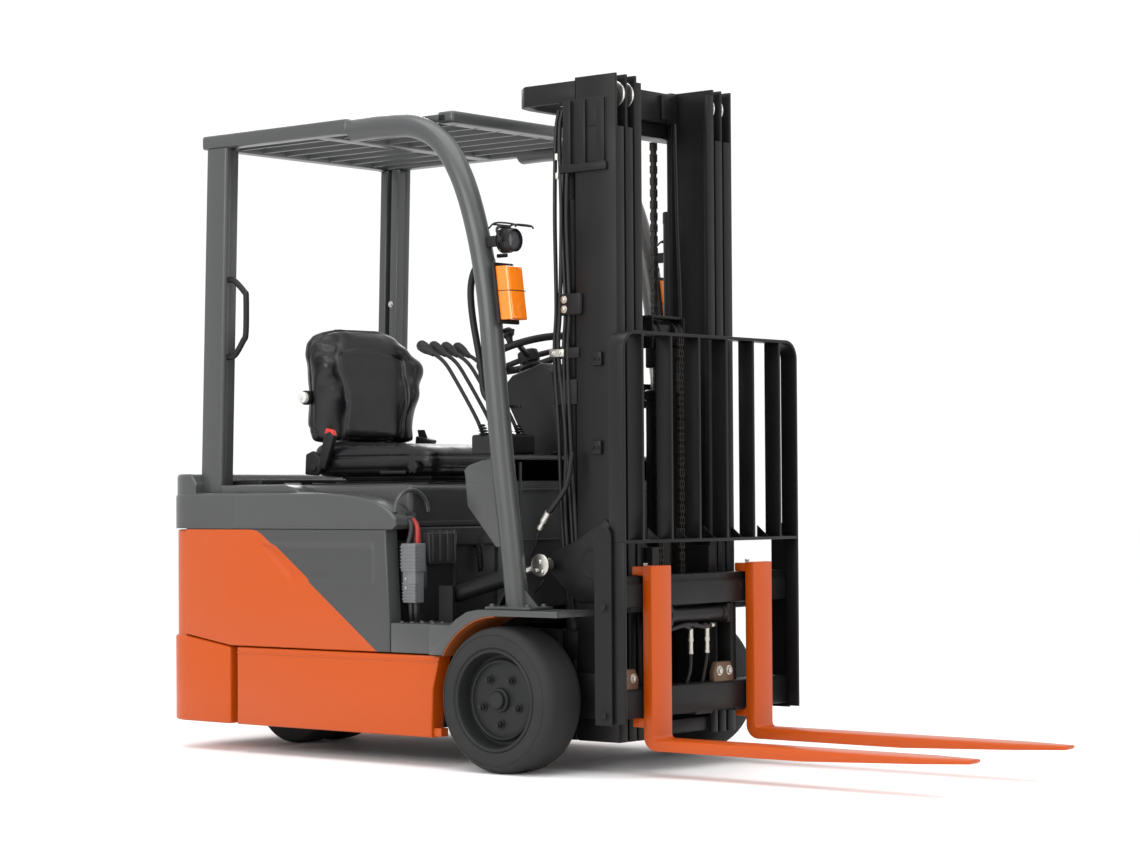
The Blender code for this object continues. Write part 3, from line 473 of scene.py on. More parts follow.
def makeCounterweight():
    def horseshoe(front, half, reach):
        outer = rearLine(front, half, reach)
        well = [(front, -0.270), (-1.555, -0.270), (-1.555, 0.270), (front, 0.270)]
        return outer + well

    lower = slab(horseshoe(-1.222, body["half"], body["rear"]), "z", body["low"], body["split"])
    slope = (body["split"] - body["skirtTop"]) / (-1.4465 + 1.222)
    cutAbove(lower, (-1.222, 0, body["skirtTop"]), Vector((-slope, 0, 1)).normalized())
    outside = lambda mid, edge: abs(mid.y) > 0.275 or mid.x < -1.56
    rounded(lower, 0.009, 3, outside)
    upper = slab(
        rearLine(-1.4465, body["half"] - 0.008, body["rear"] + 0.008), "z", 0.665, body["panelTop"] - 0.004,
    )
    middle = slab(horseshoe(-1.4465, body["half"] - 0.008, body["rear"] + 0.008), "z", 0.375, 0.665)
    inner = [
        box((-1.500, -1.0503), y, (0.400, 0.753)) for y in (span(-1, 0.270, 0.446), span(1, 0.270, 0.446))
    ]
    roof = box((-1.500, -1.0503), (-0.446, 0.446), (0.665, 0.753))
    rounded(upper, 0.007, 3, lambda mid, edge: mid.z > 0.74 and mid.x < -1.44)
    piece(
        "counterweightShell", "truck", "orange_paint", [lower, middle, upper, *inner, roof], "counterweight",
    )
    pin = [
        bar((-1.603, 0, 0.520), (-1.565, 0, 0.520), 0.034, 28),
        bar((-1.583, 0, 0.47), (-1.583, 0, 0.60), 0.012, 16),
    ]
    piece("towPin", "truck", "frame_black", pin)


# Orange below the slanted stripe line and grey above it
def sidePaint():
    n = Nodes("side_paint")
    x, y, z = n.xyz()
    (x0, z0), (x1, z1) = stripe["high"], stripe["low"]
    x0, x1 = x0 + axleX, x1 + axleX
    long = math.hypot(x1 - x0, z1 - z0)
    nx, nz = (z0 - z1) / long, (x1 - x0) / long
    past = (x - x0) * nx + (z - z0) * nz
    side = n.make("Math", {"operation": "SMOOTH_MAX"}, {0: past, 1: z - 0.7545, 2: stripe["cornerRound"]})
    grey = side.above(0.0)
    a, b = finishes["orange_paint"], finishes["grey_paint"]
    soft = n.make("Bevel", {"samples": 4}, {"Radius": 0.0018})
    rough = n.noise(9, 4, 0.6).ramp(0.3, 0.7, -0.03, 0.03) + grey * (b["rough"] - a["rough"]) + a["rough"]
    return n.set(
        Base_Color=n.mix(grey, (*a["colour"], 1), (*b["colour"], 1)),
        Roughness=rough,
        Coat_Weight=a["coat"],
        Specular_IOR_Level=a["shine"],
        Coat_Roughness=0.12,
        Normal=n.bump(n.noise(300, 2), 0.5, 0.00006, soft),
    )


finishOf["side_paint"] = sidePaint()
recess = dict(corner=(-0.935, 0.585), low=0.5855, top=0.712, front=-0.545, deep=0.012, soft=0.014)


def smoothStep(value, low, high):
    t = min(1, max(0, (value - low) / (high - low)))
    return t * t * (3 - 2 * t)


# How far the panel's face is pressed in, as a share: a pocket with a slanted rear edge
def recessDepth(x, z):
    s = recess["soft"]
    slanted = (x - (recess["corner"][0] + (recess["corner"][1] - z) * 1.15)) * 0.66
    below = z - recess["low"]
    above = recess["top"] - z
    ahead = recess["front"] - x
    return smoothStep(min(slanted, below * 2.2, above, ahead), 0, s)


def makeSidePanels():
    outline = [
        (-1.4425, 0.757),
        (-0.493, 0.757),
        (-0.475, 0.441),
        (-0.475, 0.361),
        (-1.222, 0.361),
        (-1.4425, 0.394),
    ]
    skirt = [(-1.188, 0.096), (-0.294, 0.096), (-0.288, 0.250), (-0.258, 0.357), (-1.188, 0.357)]
    for side, sign in sides:
        outer = sign * body["half"]
        bm = slab(outline, "y", outer - sign * 0.0557, outer)
        rounded(bm, 0.006, 3, lambda mid, edge: abs(mid.y - outer) < 0.002)
        face = max(bm.faces, key=lambda f: f.calc_area() * (abs(f.calc_center_median().y - outer) < 0.002))
        bm.faces.ensure_lookup_table()
        for axis, low, high, step in (("x", -1.10, -0.50, 0.012), ("z", 0.52, 0.75, 0.010)):
            at = low
            while at < high:
                near = [
                    f for f in bm.faces if abs(f.calc_center_median().y - outer) < 0.0015 and abs(
                        f.normal.y,
                    ) > 0.99
                ]
                geom = list({v for f in near for v in f.verts}) + list(
                    {e for f in near for e in f.edges}
                ) + near
                point, way = ((at, 0, 0), (1, 0, 0)) if axis == "x" else ((0, 0, at), (0, 0, 1))
                bmesh.ops.bisect_plane(bm, geom=geom, plane_co=point, plane_no=way)
                at += step
        for v in bm.verts:
            if abs(v.co.y - outer) < 0.0015:
                v.co.y -= sign * recess["deep"] * recessDepth(v.co.x, v.co.z)
        piece(side + "Panel", "truck", "side_paint", [bm], side + "_side_panel", sharp=50)

        plate = slab(skirt, "y", outer - sign * 0.0557, outer)
        rounded(plate, 0.007, 3, lambda mid, edge: abs(mid.y - outer) < 0.002)
        bead = slab(
            [(-1.186, 0.336), (-0.268, 0.336), (-0.262, 0.3405), (-1.186, 0.3405)],
            "y",
            outer - sign * 0.002,
            outer + sign * 0.0016,
        )
        tab = box((-0.300, -0.262), span(sign, 0.462, 0.494), (0.100, 0.126))
        piece(side + "SkirtPlate", "truck", "orange_paint", [plate, bead, tab], side + "_skirt")


def makeFenders():
    for side, sign in sides:
        y = span(sign, 0.352, 0.530)
        arch = [(-0.280, 0.361), (-0.2235, 0.361)]
        arch += [p for p in arcPoints((0, 0.2285), 0.262, 149.6, 90, 18)]
        arch += [
            (0.0, 0.490),
            (0.250, 0.490),
            (0.250, 0.508),
            (-0.075, 0.508),
            (-0.120, 0.500),
            (-0.165, 0.476),
            (-0.190, 0.457),
            (-0.280, 0.457),
        ]
        lip = rounded(slab(arch, "y", *y), 0.004, 2)
        step = rounded(box((-0.471, -0.270), span(sign, 0.350, 0.506), (0.361, 0.457)), 0.005, 2)
        tread = []
        for i in range(4):
            x = -0.448 + 0.045 * i
            for j in range(3):
                yy = sign * (0.385 + 0.045 * j)
                tread.append(rounded(bar((x, yy, 0.455), (x, yy, 0.4615), 0.0075, 16), 0.0015, 2))
        piece(side + "Fender", "truck", "grey_paint", [lip, step, *tread], side + "_fender_step")
        # a thin band under the fender arch in the darker orange: painted shade over the orange paint
        under = arcPoints((0, 0.2285), 0.2615, 150, 92, 18)
        liner = under + [(x * 0.9885, 0.2285 + (z - 0.2285) * 0.9885) for x, z in reversed(under)]
        piece(side + "ArchLinerPaintedShade", "truck", "arch_orange_painted_shade", [slab(liner, "y", *span(sign, 0.354, 0.528))])


def makeRearDeck():
    rear = slab(rearLine(-1.200, body["half"], body["rear"] + 0.004), "z", 0.7573, body["deckTop"])
    rounded(rear, 0.016, 4, lambda mid, edge: mid.z > 0.87 and mid.x < -1.205)
    capEdge = rearLine(-1.392, body["half"] - 0.004, body["rear"] + 0.008)
    cap = slab(capEdge, "z", 0.850, 0.945)
    cutAbove(cap, (-1.390, 0, 0.905), Vector((0.75, 0, 0.62)).normalized())
    rounded(cap, 0.012, 4, lambda mid, edge: mid.z > 0.88)
    rails = []
    rail = [
        (-1.250, 0.7576),
        (-0.463, 0.7576),
        (-0.442, 0.772),
        (-0.452, 0.796),
        (-0.475, 0.815),
        (-0.506, 0.833),
    ]
    rail += [(-0.545, 0.849), (-0.600, 0.861), (-0.680, 0.871), (-0.800, 0.877), (-1.250, 0.879)]
    for _, sign in sides:
        outer = sign * (body["half"] - 0.0003)
        one = slab(rail, "y", sign * 0.412, outer)
        rounded(one, 0.014, 4, lambda mid, edge: abs(mid.y - outer) < 0.002 and mid.z > 0.79)
        rails.append(one)
        raised = slab(
            [(-1.300, 0.872), (-0.905, 0.872), (-0.935, 0.892), (-0.985, 0.905), (-1.300, 0.905)],
            "y",
            sign * 0.395,
            sign * 0.478,
        )
        rails.append(rounded(raised, 0.008, 3))
        groove = box((-1.46, -0.48), span(sign, 0.5055, 0.5066), (0.7600, 0.7655))
        rails.append(groove)
    piece("rearCover", "truck", "grey_paint", [rear, cap, *rails], "rear_deck")
    mat = rounded(box((-1.440, -1.205), (-0.375, 0.375), (0.870, 0.925)), 0.010, 3)
    ribs = [
        rounded(box((-1.425 + 0.022 * i, -1.415 + 0.022 * i), (-0.35, 0.35), (0.922, 0.928)), 0.002, 2)
        for i in range(10)
    ]
    hinges = []
    for _, sign in sides:
        hinges.append(crossBar(-1.182, 0.900, span(sign, 0.210, 0.290), 0.0117, 20))
        hinges.append(box((-1.210, -1.186), span(sign, 0.215, 0.285), (0.880, 0.906)))
    piece("rearMat", "truck", "black_plastic", [mat, *ribs, *hinges])


def makeHood():
    shell = box((-1.170, -0.478), (-0.400, 0.400), (0.765, 0.900))
    rounded(shell, 0.020, 4, lambda mid, edge: mid.z > 0.8)
    lip = rounded(box((-1.166, -0.474), (-0.404, 0.404), (0.7655, 0.782)), 0.003, 2)
    track = [
        rounded(box((-1.05, -0.56), (y - 0.018, y + 0.018), (0.899, 0.912)), 0.003, 2) for y in (
            -0.150, 0.150,
        )
    ]
    mat = rounded(box((-1.150, -0.515), (-0.380, 0.380), (0.894, 0.9035)), 0.003, 2)
    piece("hoodShell", "hood", "hood_plastic", [shell, lip, mat, *track], "battery_hood")
    # front face: handle, ribbed boss and latch
    front = rounded(box((-0.4895, -0.476), (-0.380, 0.380), (0.4575, 0.7645)), 0.004, 2)
    shelf = rounded(box((-0.480, -0.462), (-0.395, 0.385), (0.700, 0.762)), 0.006, 3)
    boss = rounded(
        slab(
            [
                (-0.345, 0.640),
                (-0.230, 0.640),
                (-0.222, 0.655),
                (-0.215, 0.745),
                (-0.355, 0.745),
                (-0.352, 0.655),
            ],
            "x",
            -0.480,
            -0.440,
        ),
        0.006,
        3,
    )
    ribs = [
        rounded(box((-0.462, -0.436), (-0.340 + 0.036 * i, -0.334 + 0.036 * i), (0.650, 0.752)), 0.002, 2)
        for i in range(4)
    ]
    hole = rounded(box((-0.470, -0.4573), (-0.452, -0.398), (0.762, 0.812)), 0.003, 2)
    bracket = rounded(box((-0.480, -0.4575), (-0.445, -0.345), (0.560, 0.680)), 0.003, 2)
    posts = [box((-0.480, -0.470), (y, y + 0.006), (0.470, 0.700)) for y in (-0.20, 0.02, 0.24)]
    piece(
        "frontPanel",
        "truck",
        "hood_plastic",
        [front, shelf, boss, *ribs, hole, bracket, *posts],
        "front_battery_panel",
    )
    arc = [
        (-0.470, -0.405 + 0.078 * math.cos(a), 0.812 + 0.072 * math.sin(a)) for a in [
            math.pi * i / 14 for i in range(15)
        ]
    ]
    piece("hoodHandle", "hood", "grey_paint", [tube(arc, 0.0075, 3)])
    latch = [
        rounded(box((-0.476, -0.462), (-0.098, -0.062), (0.690, 0.735)), 0.003, 2),
        tube([(-0.466, -0.092, 0.70), (-0.458, -0.092, 0.63), (-0.462, -0.086, 0.612)], 0.0045, 2),
    ]
    latch.append(tube([(-0.466, -0.070, 0.70), (-0.458, -0.070, 0.63), (-0.462, -0.076, 0.612)], 0.0045, 2))
    for i in range(7):
        latch.append(
            lathe(
                [(0.0085, -0.0018), (0.0115, 0), (0.0085, 0.0018)],
                (-0.460, -0.081, 0.622 + 0.009 * i),
                (0, 0, 1),
                16,
            ),
        )
    piece("hoodLatch", "truck", "mast_black", latch)


def makeBatteryLead():
    x, y = -0.425, -0.446
    body1 = rounded(box((x - 0.032, x + 0.032), (y - 0.026, y + 0.026), (0.620, 0.712)), 0.004, 3)
    body2 = rounded(box((x - 0.028, x + 0.028), (y - 0.022, y + 0.022), (0.520, 0.640)), 0.004, 3)
    ribs = []
    for i in range(7):
        z = 0.632 + 0.011 * i
        ribs.append(rounded(box((x - 0.034, x + 0.034), (y - 0.0275, y - 0.012), (z, z + 0.005)), 0.0012, 1))
    for i in range(6):
        z = 0.530 + 0.010 * i
        ribs.append(
            rounded(box((x - 0.0295, x + 0.0295), (y - 0.0235, y - 0.010), (z, z + 0.0045)), 0.0012, 1),
        )
    piece("leadConnector", "truck", "connector_grey", [body1, body2, *ribs], "battery_connector")
    screws = [
        bar((x - 0.012, y - 0.0245, 0.598 - 0.03 * i), (x - 0.012, y - 0.0215, 0.598 - 0.03 * i), 0.004, 14)
        for i in range(2)
    ]
    piece("leadScrews", "truck", "zinc", screws)
    for name, paint, shift in (("red", "red_cable", 0.011), ("black", "black_cable", -0.011)):
        up = [
            (-0.462, y + 0.022 + shift * 0.7, 0.786),
            (-0.446, y + 0.016 + shift, 0.782),
            (x + shift * 0.4, y + 0.006 + shift * 0.8, 0.757),
            (x + shift * 0.9, y + shift, 0.711),
        ]
        piece(name + "Lead", "truck", paint, [tube(curved(up, 8), 0.0095, 4)], name + "_battery_cable")
    down = []
    for shift in (0.011, -0.011):
        down.append(
            tube(
                curved(
                    [
                        (x + shift, y, 0.525),
                        (x + shift, y + 0.002, 0.490),
                        (x + shift - 0.006, y + 0.012, 0.4575),
                    ],
                    6,
                ),
                0.0095,
                4,
            ),
        )
    piece("lowerLeads", "truck", "black_cable", down)


makeCounterweight()
makeSidePanels()
makeFenders()
makeRearDeck()
makeHood()
makeBatteryLead()
print("body made")


# cab
guard = dict(half=0.465, rear=-1.400, front=-0.297, top=2.113, deep=0.048, tube=0.0375, split=-0.700)


def pillarLine(sign):
    y = sign * (guard["half"] - guard["tube"])
    roof = guard["top"] - guard["tube"]
    line = [
        (0.005, 0.511), (-0.018, 0.700), (-0.055, 0.980), (-0.085, 1.250), (-0.112, 1.500), (-0.160, 1.720),
    ]
    line += [(-0.225, 1.890), (-0.310, 2.005), (-0.420, 2.062), (-0.560, roof), (guard["split"], roof)]
    return [(x, y, z) for x, z in line]


def makeGuard():
    low, top, half = guard["top"] - guard["deep"], guard["top"], guard["half"]
    shapes = []
    for _, sign in sides:
        shapes.append(
            rounded(
                box((guard["rear"], guard["split"] - 0.001), span(sign, half - 0.06, half), (low, top)),
                0.010,
                3,
            ),
        )
        shapes.append(
            rounded(
                box(
                    (guard["split"] - 0.03, guard["split"] + 0.01),
                    span(sign, half - 0.072, half - 0.004),
                    (low - 0.004, top - 0.006),
                ),
                0.006,
                2,
            ),
        )
    shapes.append(
        rounded(
            box(
                (guard["rear"] + 0.002, guard["rear"] + 0.06),
                (-half + 0.012, half - 0.012),
                (low + 0.001, top - 0.001),
            ),
            0.010,
            3,
        ),
    )
    shapes.append(
        rounded(box((-0.900, -0.840), (-half + 0.004, half - 0.004), (low + 0.001, top - 0.001)), 0.006, 2),
    )
    shapes.append(
        rounded(
            box(
                (guard["front"] - 0.070, guard["front"]),
                (-half + 0.077, half - 0.077),
                (low + 0.006, top - 0.002),
            ),
            0.010,
            3,
        ),
    )
    shapes.append(
        rounded(
            box(
                (guard["front"] - 0.320, guard["front"] - 0.030),
                (-half + 0.077, -half + 0.110),
                (low + 0.012, top - 0.010),
            ),
            0.004,
            2,
        ),
    )
    shapes.append(
        rounded(
            box(
                (guard["front"] - 0.320, guard["front"] - 0.030),
                (half - 0.110, half - 0.077),
                (low + 0.012, top - 0.010),
            ),
            0.004,
            2,
        ),
    )
    for i in range(7):
        y = -0.330 + 0.110 * i
        shapes.append(
            rounded(
                box(
                    (guard["rear"] + 0.03, guard["front"] - 0.03),
                    (y - 0.006, y + 0.006),
                    (low + 0.006, top - 0.008),
                ),
                0.002,
                2,
            ),
        )
    piece("guardRoof", "truck", "grey_paint", shapes, "overhead_guard_roof")
    for side, sign in sides:
        tubeShape = tube(curved(pillarLine(sign), 6), guard["tube"], 7)
        plateY = span(sign, half - 0.085, half + 0.030)
        foot = rounded(box((-0.075, 0.110), plateY, (0.5083, 0.5175)), 0.003, 2)
        gusset = slab(
            [(0.030, 0.516), (0.090, 0.516), (0.026, 0.575)],
            "y",
            sign * (half - 0.041),
            sign * (half - 0.034),
        )
        piece(side + "Pillar", "truck", "grey_paint", [tubeShape, foot, gusset], side + "_front_pillar")
        bolts = []
        for x, y in (
            (-0.058, half - 0.066), (-0.058, half + 0.012), (0.088, half - 0.066), (0.088, half + 0.012),
        ):
            bolts += nut((x, sign * y, 0.5175), (0, 0, 1), 0.019, 0.008)
        piece(side + "PillarBolts", "truck", "grey_paint", bolts)
        # rear pillar: a folded channel
        line = [(-1.412, 0.8805), (-1.310, 0.8805), (-1.275, low), (-1.375, low)]
        outer = sign * half
        channel = slab(line, "y", outer, outer - sign * 0.030)
        rounded(channel, 0.010, 3, lambda mid, edge: abs(edge.verts[0].co.z - edge.verts[1].co.z) > 0.3)
        fold1 = slab(
            [(-1.408, 0.881), (-1.372, 0.881), (-1.338, low), (-1.372, low)],
            "y",
            outer - sign * 0.0645,
            outer - sign * 0.012,
        )
        fold2 = slab(
            [(-1.352, 0.881), (-1.314, 0.881), (-1.279, low), (-1.318, low)],
            "y",
            outer - sign * 0.0645,
            outer - sign * 0.012,
        )
        rounded(fold1, 0.006, 3)
        rounded(fold2, 0.006, 3)
        piece(side + "RearPillar", "truck", "grey_paint", [channel, fold1, fold2], side + "_rear_pillar")
        bolts = []
        for z in (1.43, 1.57):
            bolts += nut((-1.325 + (z - 1.5) * 0.03, outer - sign * 0.065, z), (0, -sign, 0), 0.016, 0.006)
        piece(side + "RearPillarBolts", "truck", "zinc", bolts)
    # grab handles
    y = -0.440
    grab = [
        (-1.292, y, 1.612),
        (-1.262, y, 1.606),
        (-1.214, y, 1.566),
        (-1.206, y, 1.545),
        (-1.208, y, 1.425),
        (-1.222, y, 1.398),
        (-1.262, y, 1.352),
        (-1.300, y, 1.345),
    ]
    piece("rearGrab", "truck", "black_plastic", [tube(curved(grab, 5), 0.0105, 4)])
    y = -0.405
    front = [
        (-0.110, y, 1.612),
        (-0.175, y, 1.600),
        (-0.205, y, 1.540),
        (-0.200, y, 1.440),
        (-0.165, y, 1.280),
        (-0.150, y, 1.190),
        (-0.100, y, 1.150),
    ]
    piece("frontGrab", "truck", "black_plastic", [tube(curved(front, 6), 0.0115, 4)])
    clips = []
    for _, sign in sides:
        for i in range(5):
            z = 1.62 - 0.12 * i
            clips.append(
                rounded(
                    box(
                        (-0.062 + (z - 1.5) * -0.11 - 0.03, -0.050 + (z - 1.5) * -0.11),
                        span(sign, 0.386, 0.396),
                        (z, z + 0.012),
                    ),
                    0.002,
                    1,
                ),
            )
    piece("harnessClips", "truck", "black_plastic", clips)


def makeLamps():
    for side, sign in sides:
        backing = rounded(box((-0.053, -0.043), span(sign, 0.368, 0.467), (1.405, 1.600)), 0.004, 2)
        arm = box((-0.085, -0.050), span(sign, 0.412, 0.443), (1.470, 1.530))
        lensLine = [(0.382, 1.418), (0.458, 1.418), (0.458, 1.587), (0.382, 1.587)]
        lens = slab([(y * sign, z) for y, z in lensLine], "x", -0.043, 0.006)
        rounded(lens, 0.010, 3, lambda mid, edge: mid.x > 0.0)
        split = [box((-0.043, 0.0068), span(sign, 0.3815, 0.4585), (1.508, 1.5105))]
        for shape in (lens, backing, *split):
            for v in shape.verts:
                v.co.x += (1.5025 - v.co.z) * 0.13
        piece(side + "SignalLens", "truck", "amber_lens", [lens], side + "_turn_signal")
        piece(side + "SignalHousing", "truck", "black_plastic", [backing, arm, *split])
        y = sign * 0.43
        z = 1.668
        profile = [
            (0.0, -0.062),
            (0.020, -0.060),
            (0.031, -0.048),
            (0.036, -0.022),
            (0.037, 0.004),
            (0.0335, 0.007),
            (0.032, -0.006),
            (0.0, -0.006),
        ]
        housing = lathe(profile, (0, y, z), (1, 0, 0), 36, closed=False)
        fins = [
            lathe(
                [(0.035, -0.046 + 0.008 * i), (0.0395, -0.0445 + 0.008 * i), (0.035, -0.043 + 0.008 * i)],
                (0, y, z), (1, 0, 0), 32
            )
            for i in range(4)
        ]
        stem = rounded(box((-0.110, -0.045), span(sign, 0.418, 0.442), (z - 0.016, z + 0.018)), 0.003, 2)
        yoke = tube(
            curved(
                [
                    (-0.022, y - 0.042, z),
                    (-0.035, y - 0.042, z + 0.034),
                    (-0.050, y, z + 0.044),
                    (-0.035, y + 0.042, z + 0.034),
                    (-0.022, y + 0.042, z),
                ],
                4,
            ),
            0.005,
            3,
        )
        bolts = []
        for out in (-1, 1):
            bolts += nut((-0.022, y + out * 0.040, z), (0, out, 0), 0.013, 0.007)
        piece(
            side + "Lamp",
            "truck",
            "black_plastic",
            [housing, stem, yoke, *fins, *bolts],
            side + "_work_light",
        )
        piece(
            side + "LampLens",
            "truck",
            "lamp_lens",
            [
                lathe(
                    [(0.0, 0.0), (0.022, -0.002), (0.0315, -0.007)],
                    (0.003, y, z),
                    (1, 0, 0),
                    32,
                    closed=False,
                ),
            ],
        )
        high = z + 0.050
        wires = []
        for shift in (-0.042, 0.042):
            wires.append(
                tube(
                    curved(
                        [
                            (-0.070, y + shift, high - 0.012),
                            (-0.040, y + shift, high + 0.004),
                            (0.030, y + shift, high - 0.004),
                            (0.044, y + shift, high - 0.014),
                        ],
                        5,
                    ),
                    0.0030,
                    2,
                ),
            )
        wires.append(tube([(-0.052, y - 0.044, high), (-0.052, y + 0.044, high)], 0.0030, 2))
        wires.append(tube([(0.036, y - 0.044, high - 0.007), (0.036, y + 0.044, high - 0.007)], 0.0030, 2))
        piece(side + "LampGuard", "truck", "black_plastic", wires)


columnFoot = Vector((-0.175, 0, 0.930))
wheelCentre = Vector((-0.315, 0, 1.335))
columnAxis = (wheelCentre - columnFoot).normalized()


def makeControls():
    # cowl and dash
    wall = rounded(box((-0.080, -0.065), (-0.380, 0.380), (0.5083, 0.985)), 0.004, 2)
    dash = slab(
        [
            (-0.255, 0.905),
            (-0.065, 0.905),
            (-0.065, 0.985),
            (-0.075, 0.992),
            (-0.120, 0.995),
            (-0.245, 0.962),
            (-0.265, 0.948),
        ],
        "y",
        -0.380,
        0.380,
    )
    rounded(dash, 0.008, 3)
    shapes = [wall, dash]
    for _, sign in sides:
        cheek = slab(
            [(-0.067, 0.700), (-0.067, 0.975), (-0.262, 0.945), (-0.250, 0.830), (-0.130, 0.700)],
            "y",
            sign * 0.352,
            sign * 0.3785,
        )
        shapes.append(rounded(cheek, 0.004, 2))
    shapes.append(rounded(box((-0.068, -0.058), (-0.34, 0.34), (0.880, 0.886)), 0.002, 2))
    shapes.append(rounded(box((-0.068, -0.058), (-0.34, 0.34), (0.720, 0.726)), 0.002, 2))
    for y in (-0.335, -0.02, 0.335):
        shapes.append(rounded(box((-0.068, -0.0575), (y - 0.003, y + 0.003), (0.530, 0.970)), 0.0015, 2))
    piece("cowlPanels", "truck", "grey_paint", shapes, "front_cowl")
    # vents on top of the dash
    vents = []
    for i in range(6):
        for j in range(14):
            x = -0.205 + 0.020 * i
            y = -0.110 + 0.026 * j
            if abs(y) < 0.055 and x < -0.12:
                continue
            z = 0.9825 + (x + 0.19) * 0.262
            vents.append(
                rounded(
                    box((x - 0.0065, x + 0.0065), (y - 0.010, y + 0.010), (z - 0.004, z + 0.0022)), 0.0015, 1,
                ),
            )
    piece("dashVents", "truck", "bore_black", vents)
    # column
    lower = lathe(
        [
            (0.0, -0.03),
            (0.060, -0.03),
            (0.058, 0.05),
            (0.047, 0.115),
            (0.040, 0.17),
            (0.038, 0.24),
            (0.0, 0.24),
        ],
        columnFoot,
        columnAxis,
        36,
        closed=False,
    )
    neck = bar(columnFoot + columnAxis * 0.20, wheelCentre - columnAxis * 0.0305, 0.027, 24)
    cover = slab(
        [
            (-0.352, 1.215),
            (-0.305, 1.262),
            (-0.175, 1.300),
            (-0.125, 1.270),
            (-0.088, 1.040),
            (-0.100, 0.985),
            (-0.215, 0.975),
            (-0.262, 1.060),
        ],
        "y",
        -0.100,
        0.100,
    )
    rounded(cover, 0.014, 3)
    boot = []
    for i in range(3):
        boot.append(
            lathe(
                [(0.034, -0.009), (0.050 - 0.004 * i, 0), (0.034, 0.009)],
                wheelCentre - columnAxis * (0.084 - 0.018 * i),
                columnAxis,
                28,
            ),
        )
    display = rounded(box((-0.345, -0.290), (-0.060, 0.060), (1.170, 1.222)), 0.008, 3)
    piece("columnCover", "truck", "black_plastic", [lower, neck, cover, *boot, display], "steering_column")
    screen = rounded(box((-0.3465, -0.3440), (-0.050, 0.050), (1.182, 1.212)), 0.001, 1)
    piece("displayGlass", "truck", "bore_black", [screen])
    # wheel
    grip = [
        (0.165 + 0.0125 * math.cos(a), 0.0125 * math.sin(a)) for a in [math.pi / 8 * i for i in range(16)]
    ]
    side = Vector((0, 1, 0))
    ahead = columnAxis.cross(side)
    shapes = [lathe(grip, wheelCentre, columnAxis, 72)]
    for degrees in (90, 210, 330):
        out = math.cos(math.radians(degrees)) * side + math.sin(math.radians(degrees)) * ahead
        shapes.append(
            tube(
                curved(
                    [
                        wheelCentre - columnAxis * 0.012,
                        wheelCentre - columnAxis * 0.006 + out * 0.06,
                        wheelCentre + out * 0.162,
                    ],
                    5,
                ),
                0.010,
                4,
            ),
        )
    hub = [(0.0, -0.030), (0.034, -0.030), (0.037, -0.010), (0.034, 0.008), (0.024, 0.014), (0.0, 0.015)]
    shapes.append(lathe(hub, wheelCentre, columnAxis, 32, closed=False))
    knobAt = wheelCentre + side * -0.150 - ahead * 0.060 + columnAxis * 0.012
    shapes.append(
        lathe(
            [
                (0.0, 0.0),
                (0.010, 0.0),
                (0.012, 0.016),
                (0.021, 0.026),
                (0.022, 0.040),
                (0.014, 0.049),
                (0.0, 0.050),
            ],
            knobAt,
            columnAxis,
            24,
            closed=False,
        ),
    )
    piece("handWheel", "steering_hand_wheel", "black_plastic", shapes, "steering_wheel")
    # levers
    leverBox = rounded(box((-0.215, -0.120), (-0.400, -0.190), (0.9955, 1.060)), 0.010, 3)
    shapes = [leverBox]
    for i in range(4):
        y = -0.385 + 0.058 * i
        shapes.append(
            tube(
                curved(
                    [
                        (-0.165, y, 1.040),
                        (-0.205, y, 1.115),
                        (-0.290, y, 1.235),
                        (-0.345, y, 1.300),
                        (-0.415, y, 1.340),
                    ],
                    8,
                ),
                0.0065,
                3,
            ),
        )
        for k in range(4):
            shapes.append(
                lathe(
                    [(0.008, -0.004), (0.022 - 0.003 * k, 0), (0.008, 0.004)],
                    (-0.168 - 0.004 * k, y, 1.062 + 0.009 * k),
                    (0, 0, 1),
                    18,
                ),
            )
        knob = [
            (0.0, -0.036),
            (0.008, -0.036),
            (0.011, -0.020),
            (0.016, -0.004),
            (0.0185, 0.012),
            (0.0185, 0.028),
            (0.014, 0.036),
            (0.0, 0.038),
        ]
        shapes.append(lathe(knob, (-0.418, y, 1.3415), (-0.86, 0, 0.5), 20, closed=False))
    piece("leverBank", "truck", "black_plastic", shapes, "control_levers")
    tips = [
        bar((-0.449, -0.385 + 0.058 * i, 1.3590), (-0.4525, -0.385 + 0.058 * i, 1.3610), 0.0075, 16)
        for i in range(4)
    ]
    piece("leverMarks", "truck", "zinc", tips)
    # pedals: rubber faces
    pads = []
    for y0, y1, high in ((-0.020, 0.080, 0.590), (-0.190, -0.120, 0.600)):
        count = 6
        for i in range(count):
            t = (i + 0.5) / count
            x = -0.235 + 0.040 * t - 0.0035
            z = high - 0.075 + 0.075 * t + 0.002
            pads.append(
                rounded(
                    box((x - 0.004, x + 0.003), (y0 + 0.004, y1 - 0.004), (z - 0.0035, z + 0.0035)), 0.001, 1,
                ),
            )
    piece("pedalRibs", "truck", "tyre_rubber", pads)
    matRibs = [
        rounded(box((-0.470, -0.205), (-0.32 + 0.04 * i, -0.305 + 0.04 * i), (0.4565, 0.4595)), 0.001, 1)
        for i in range(16)
    ]
    piece("floorRibs", "truck", "black_plastic", matRibs)


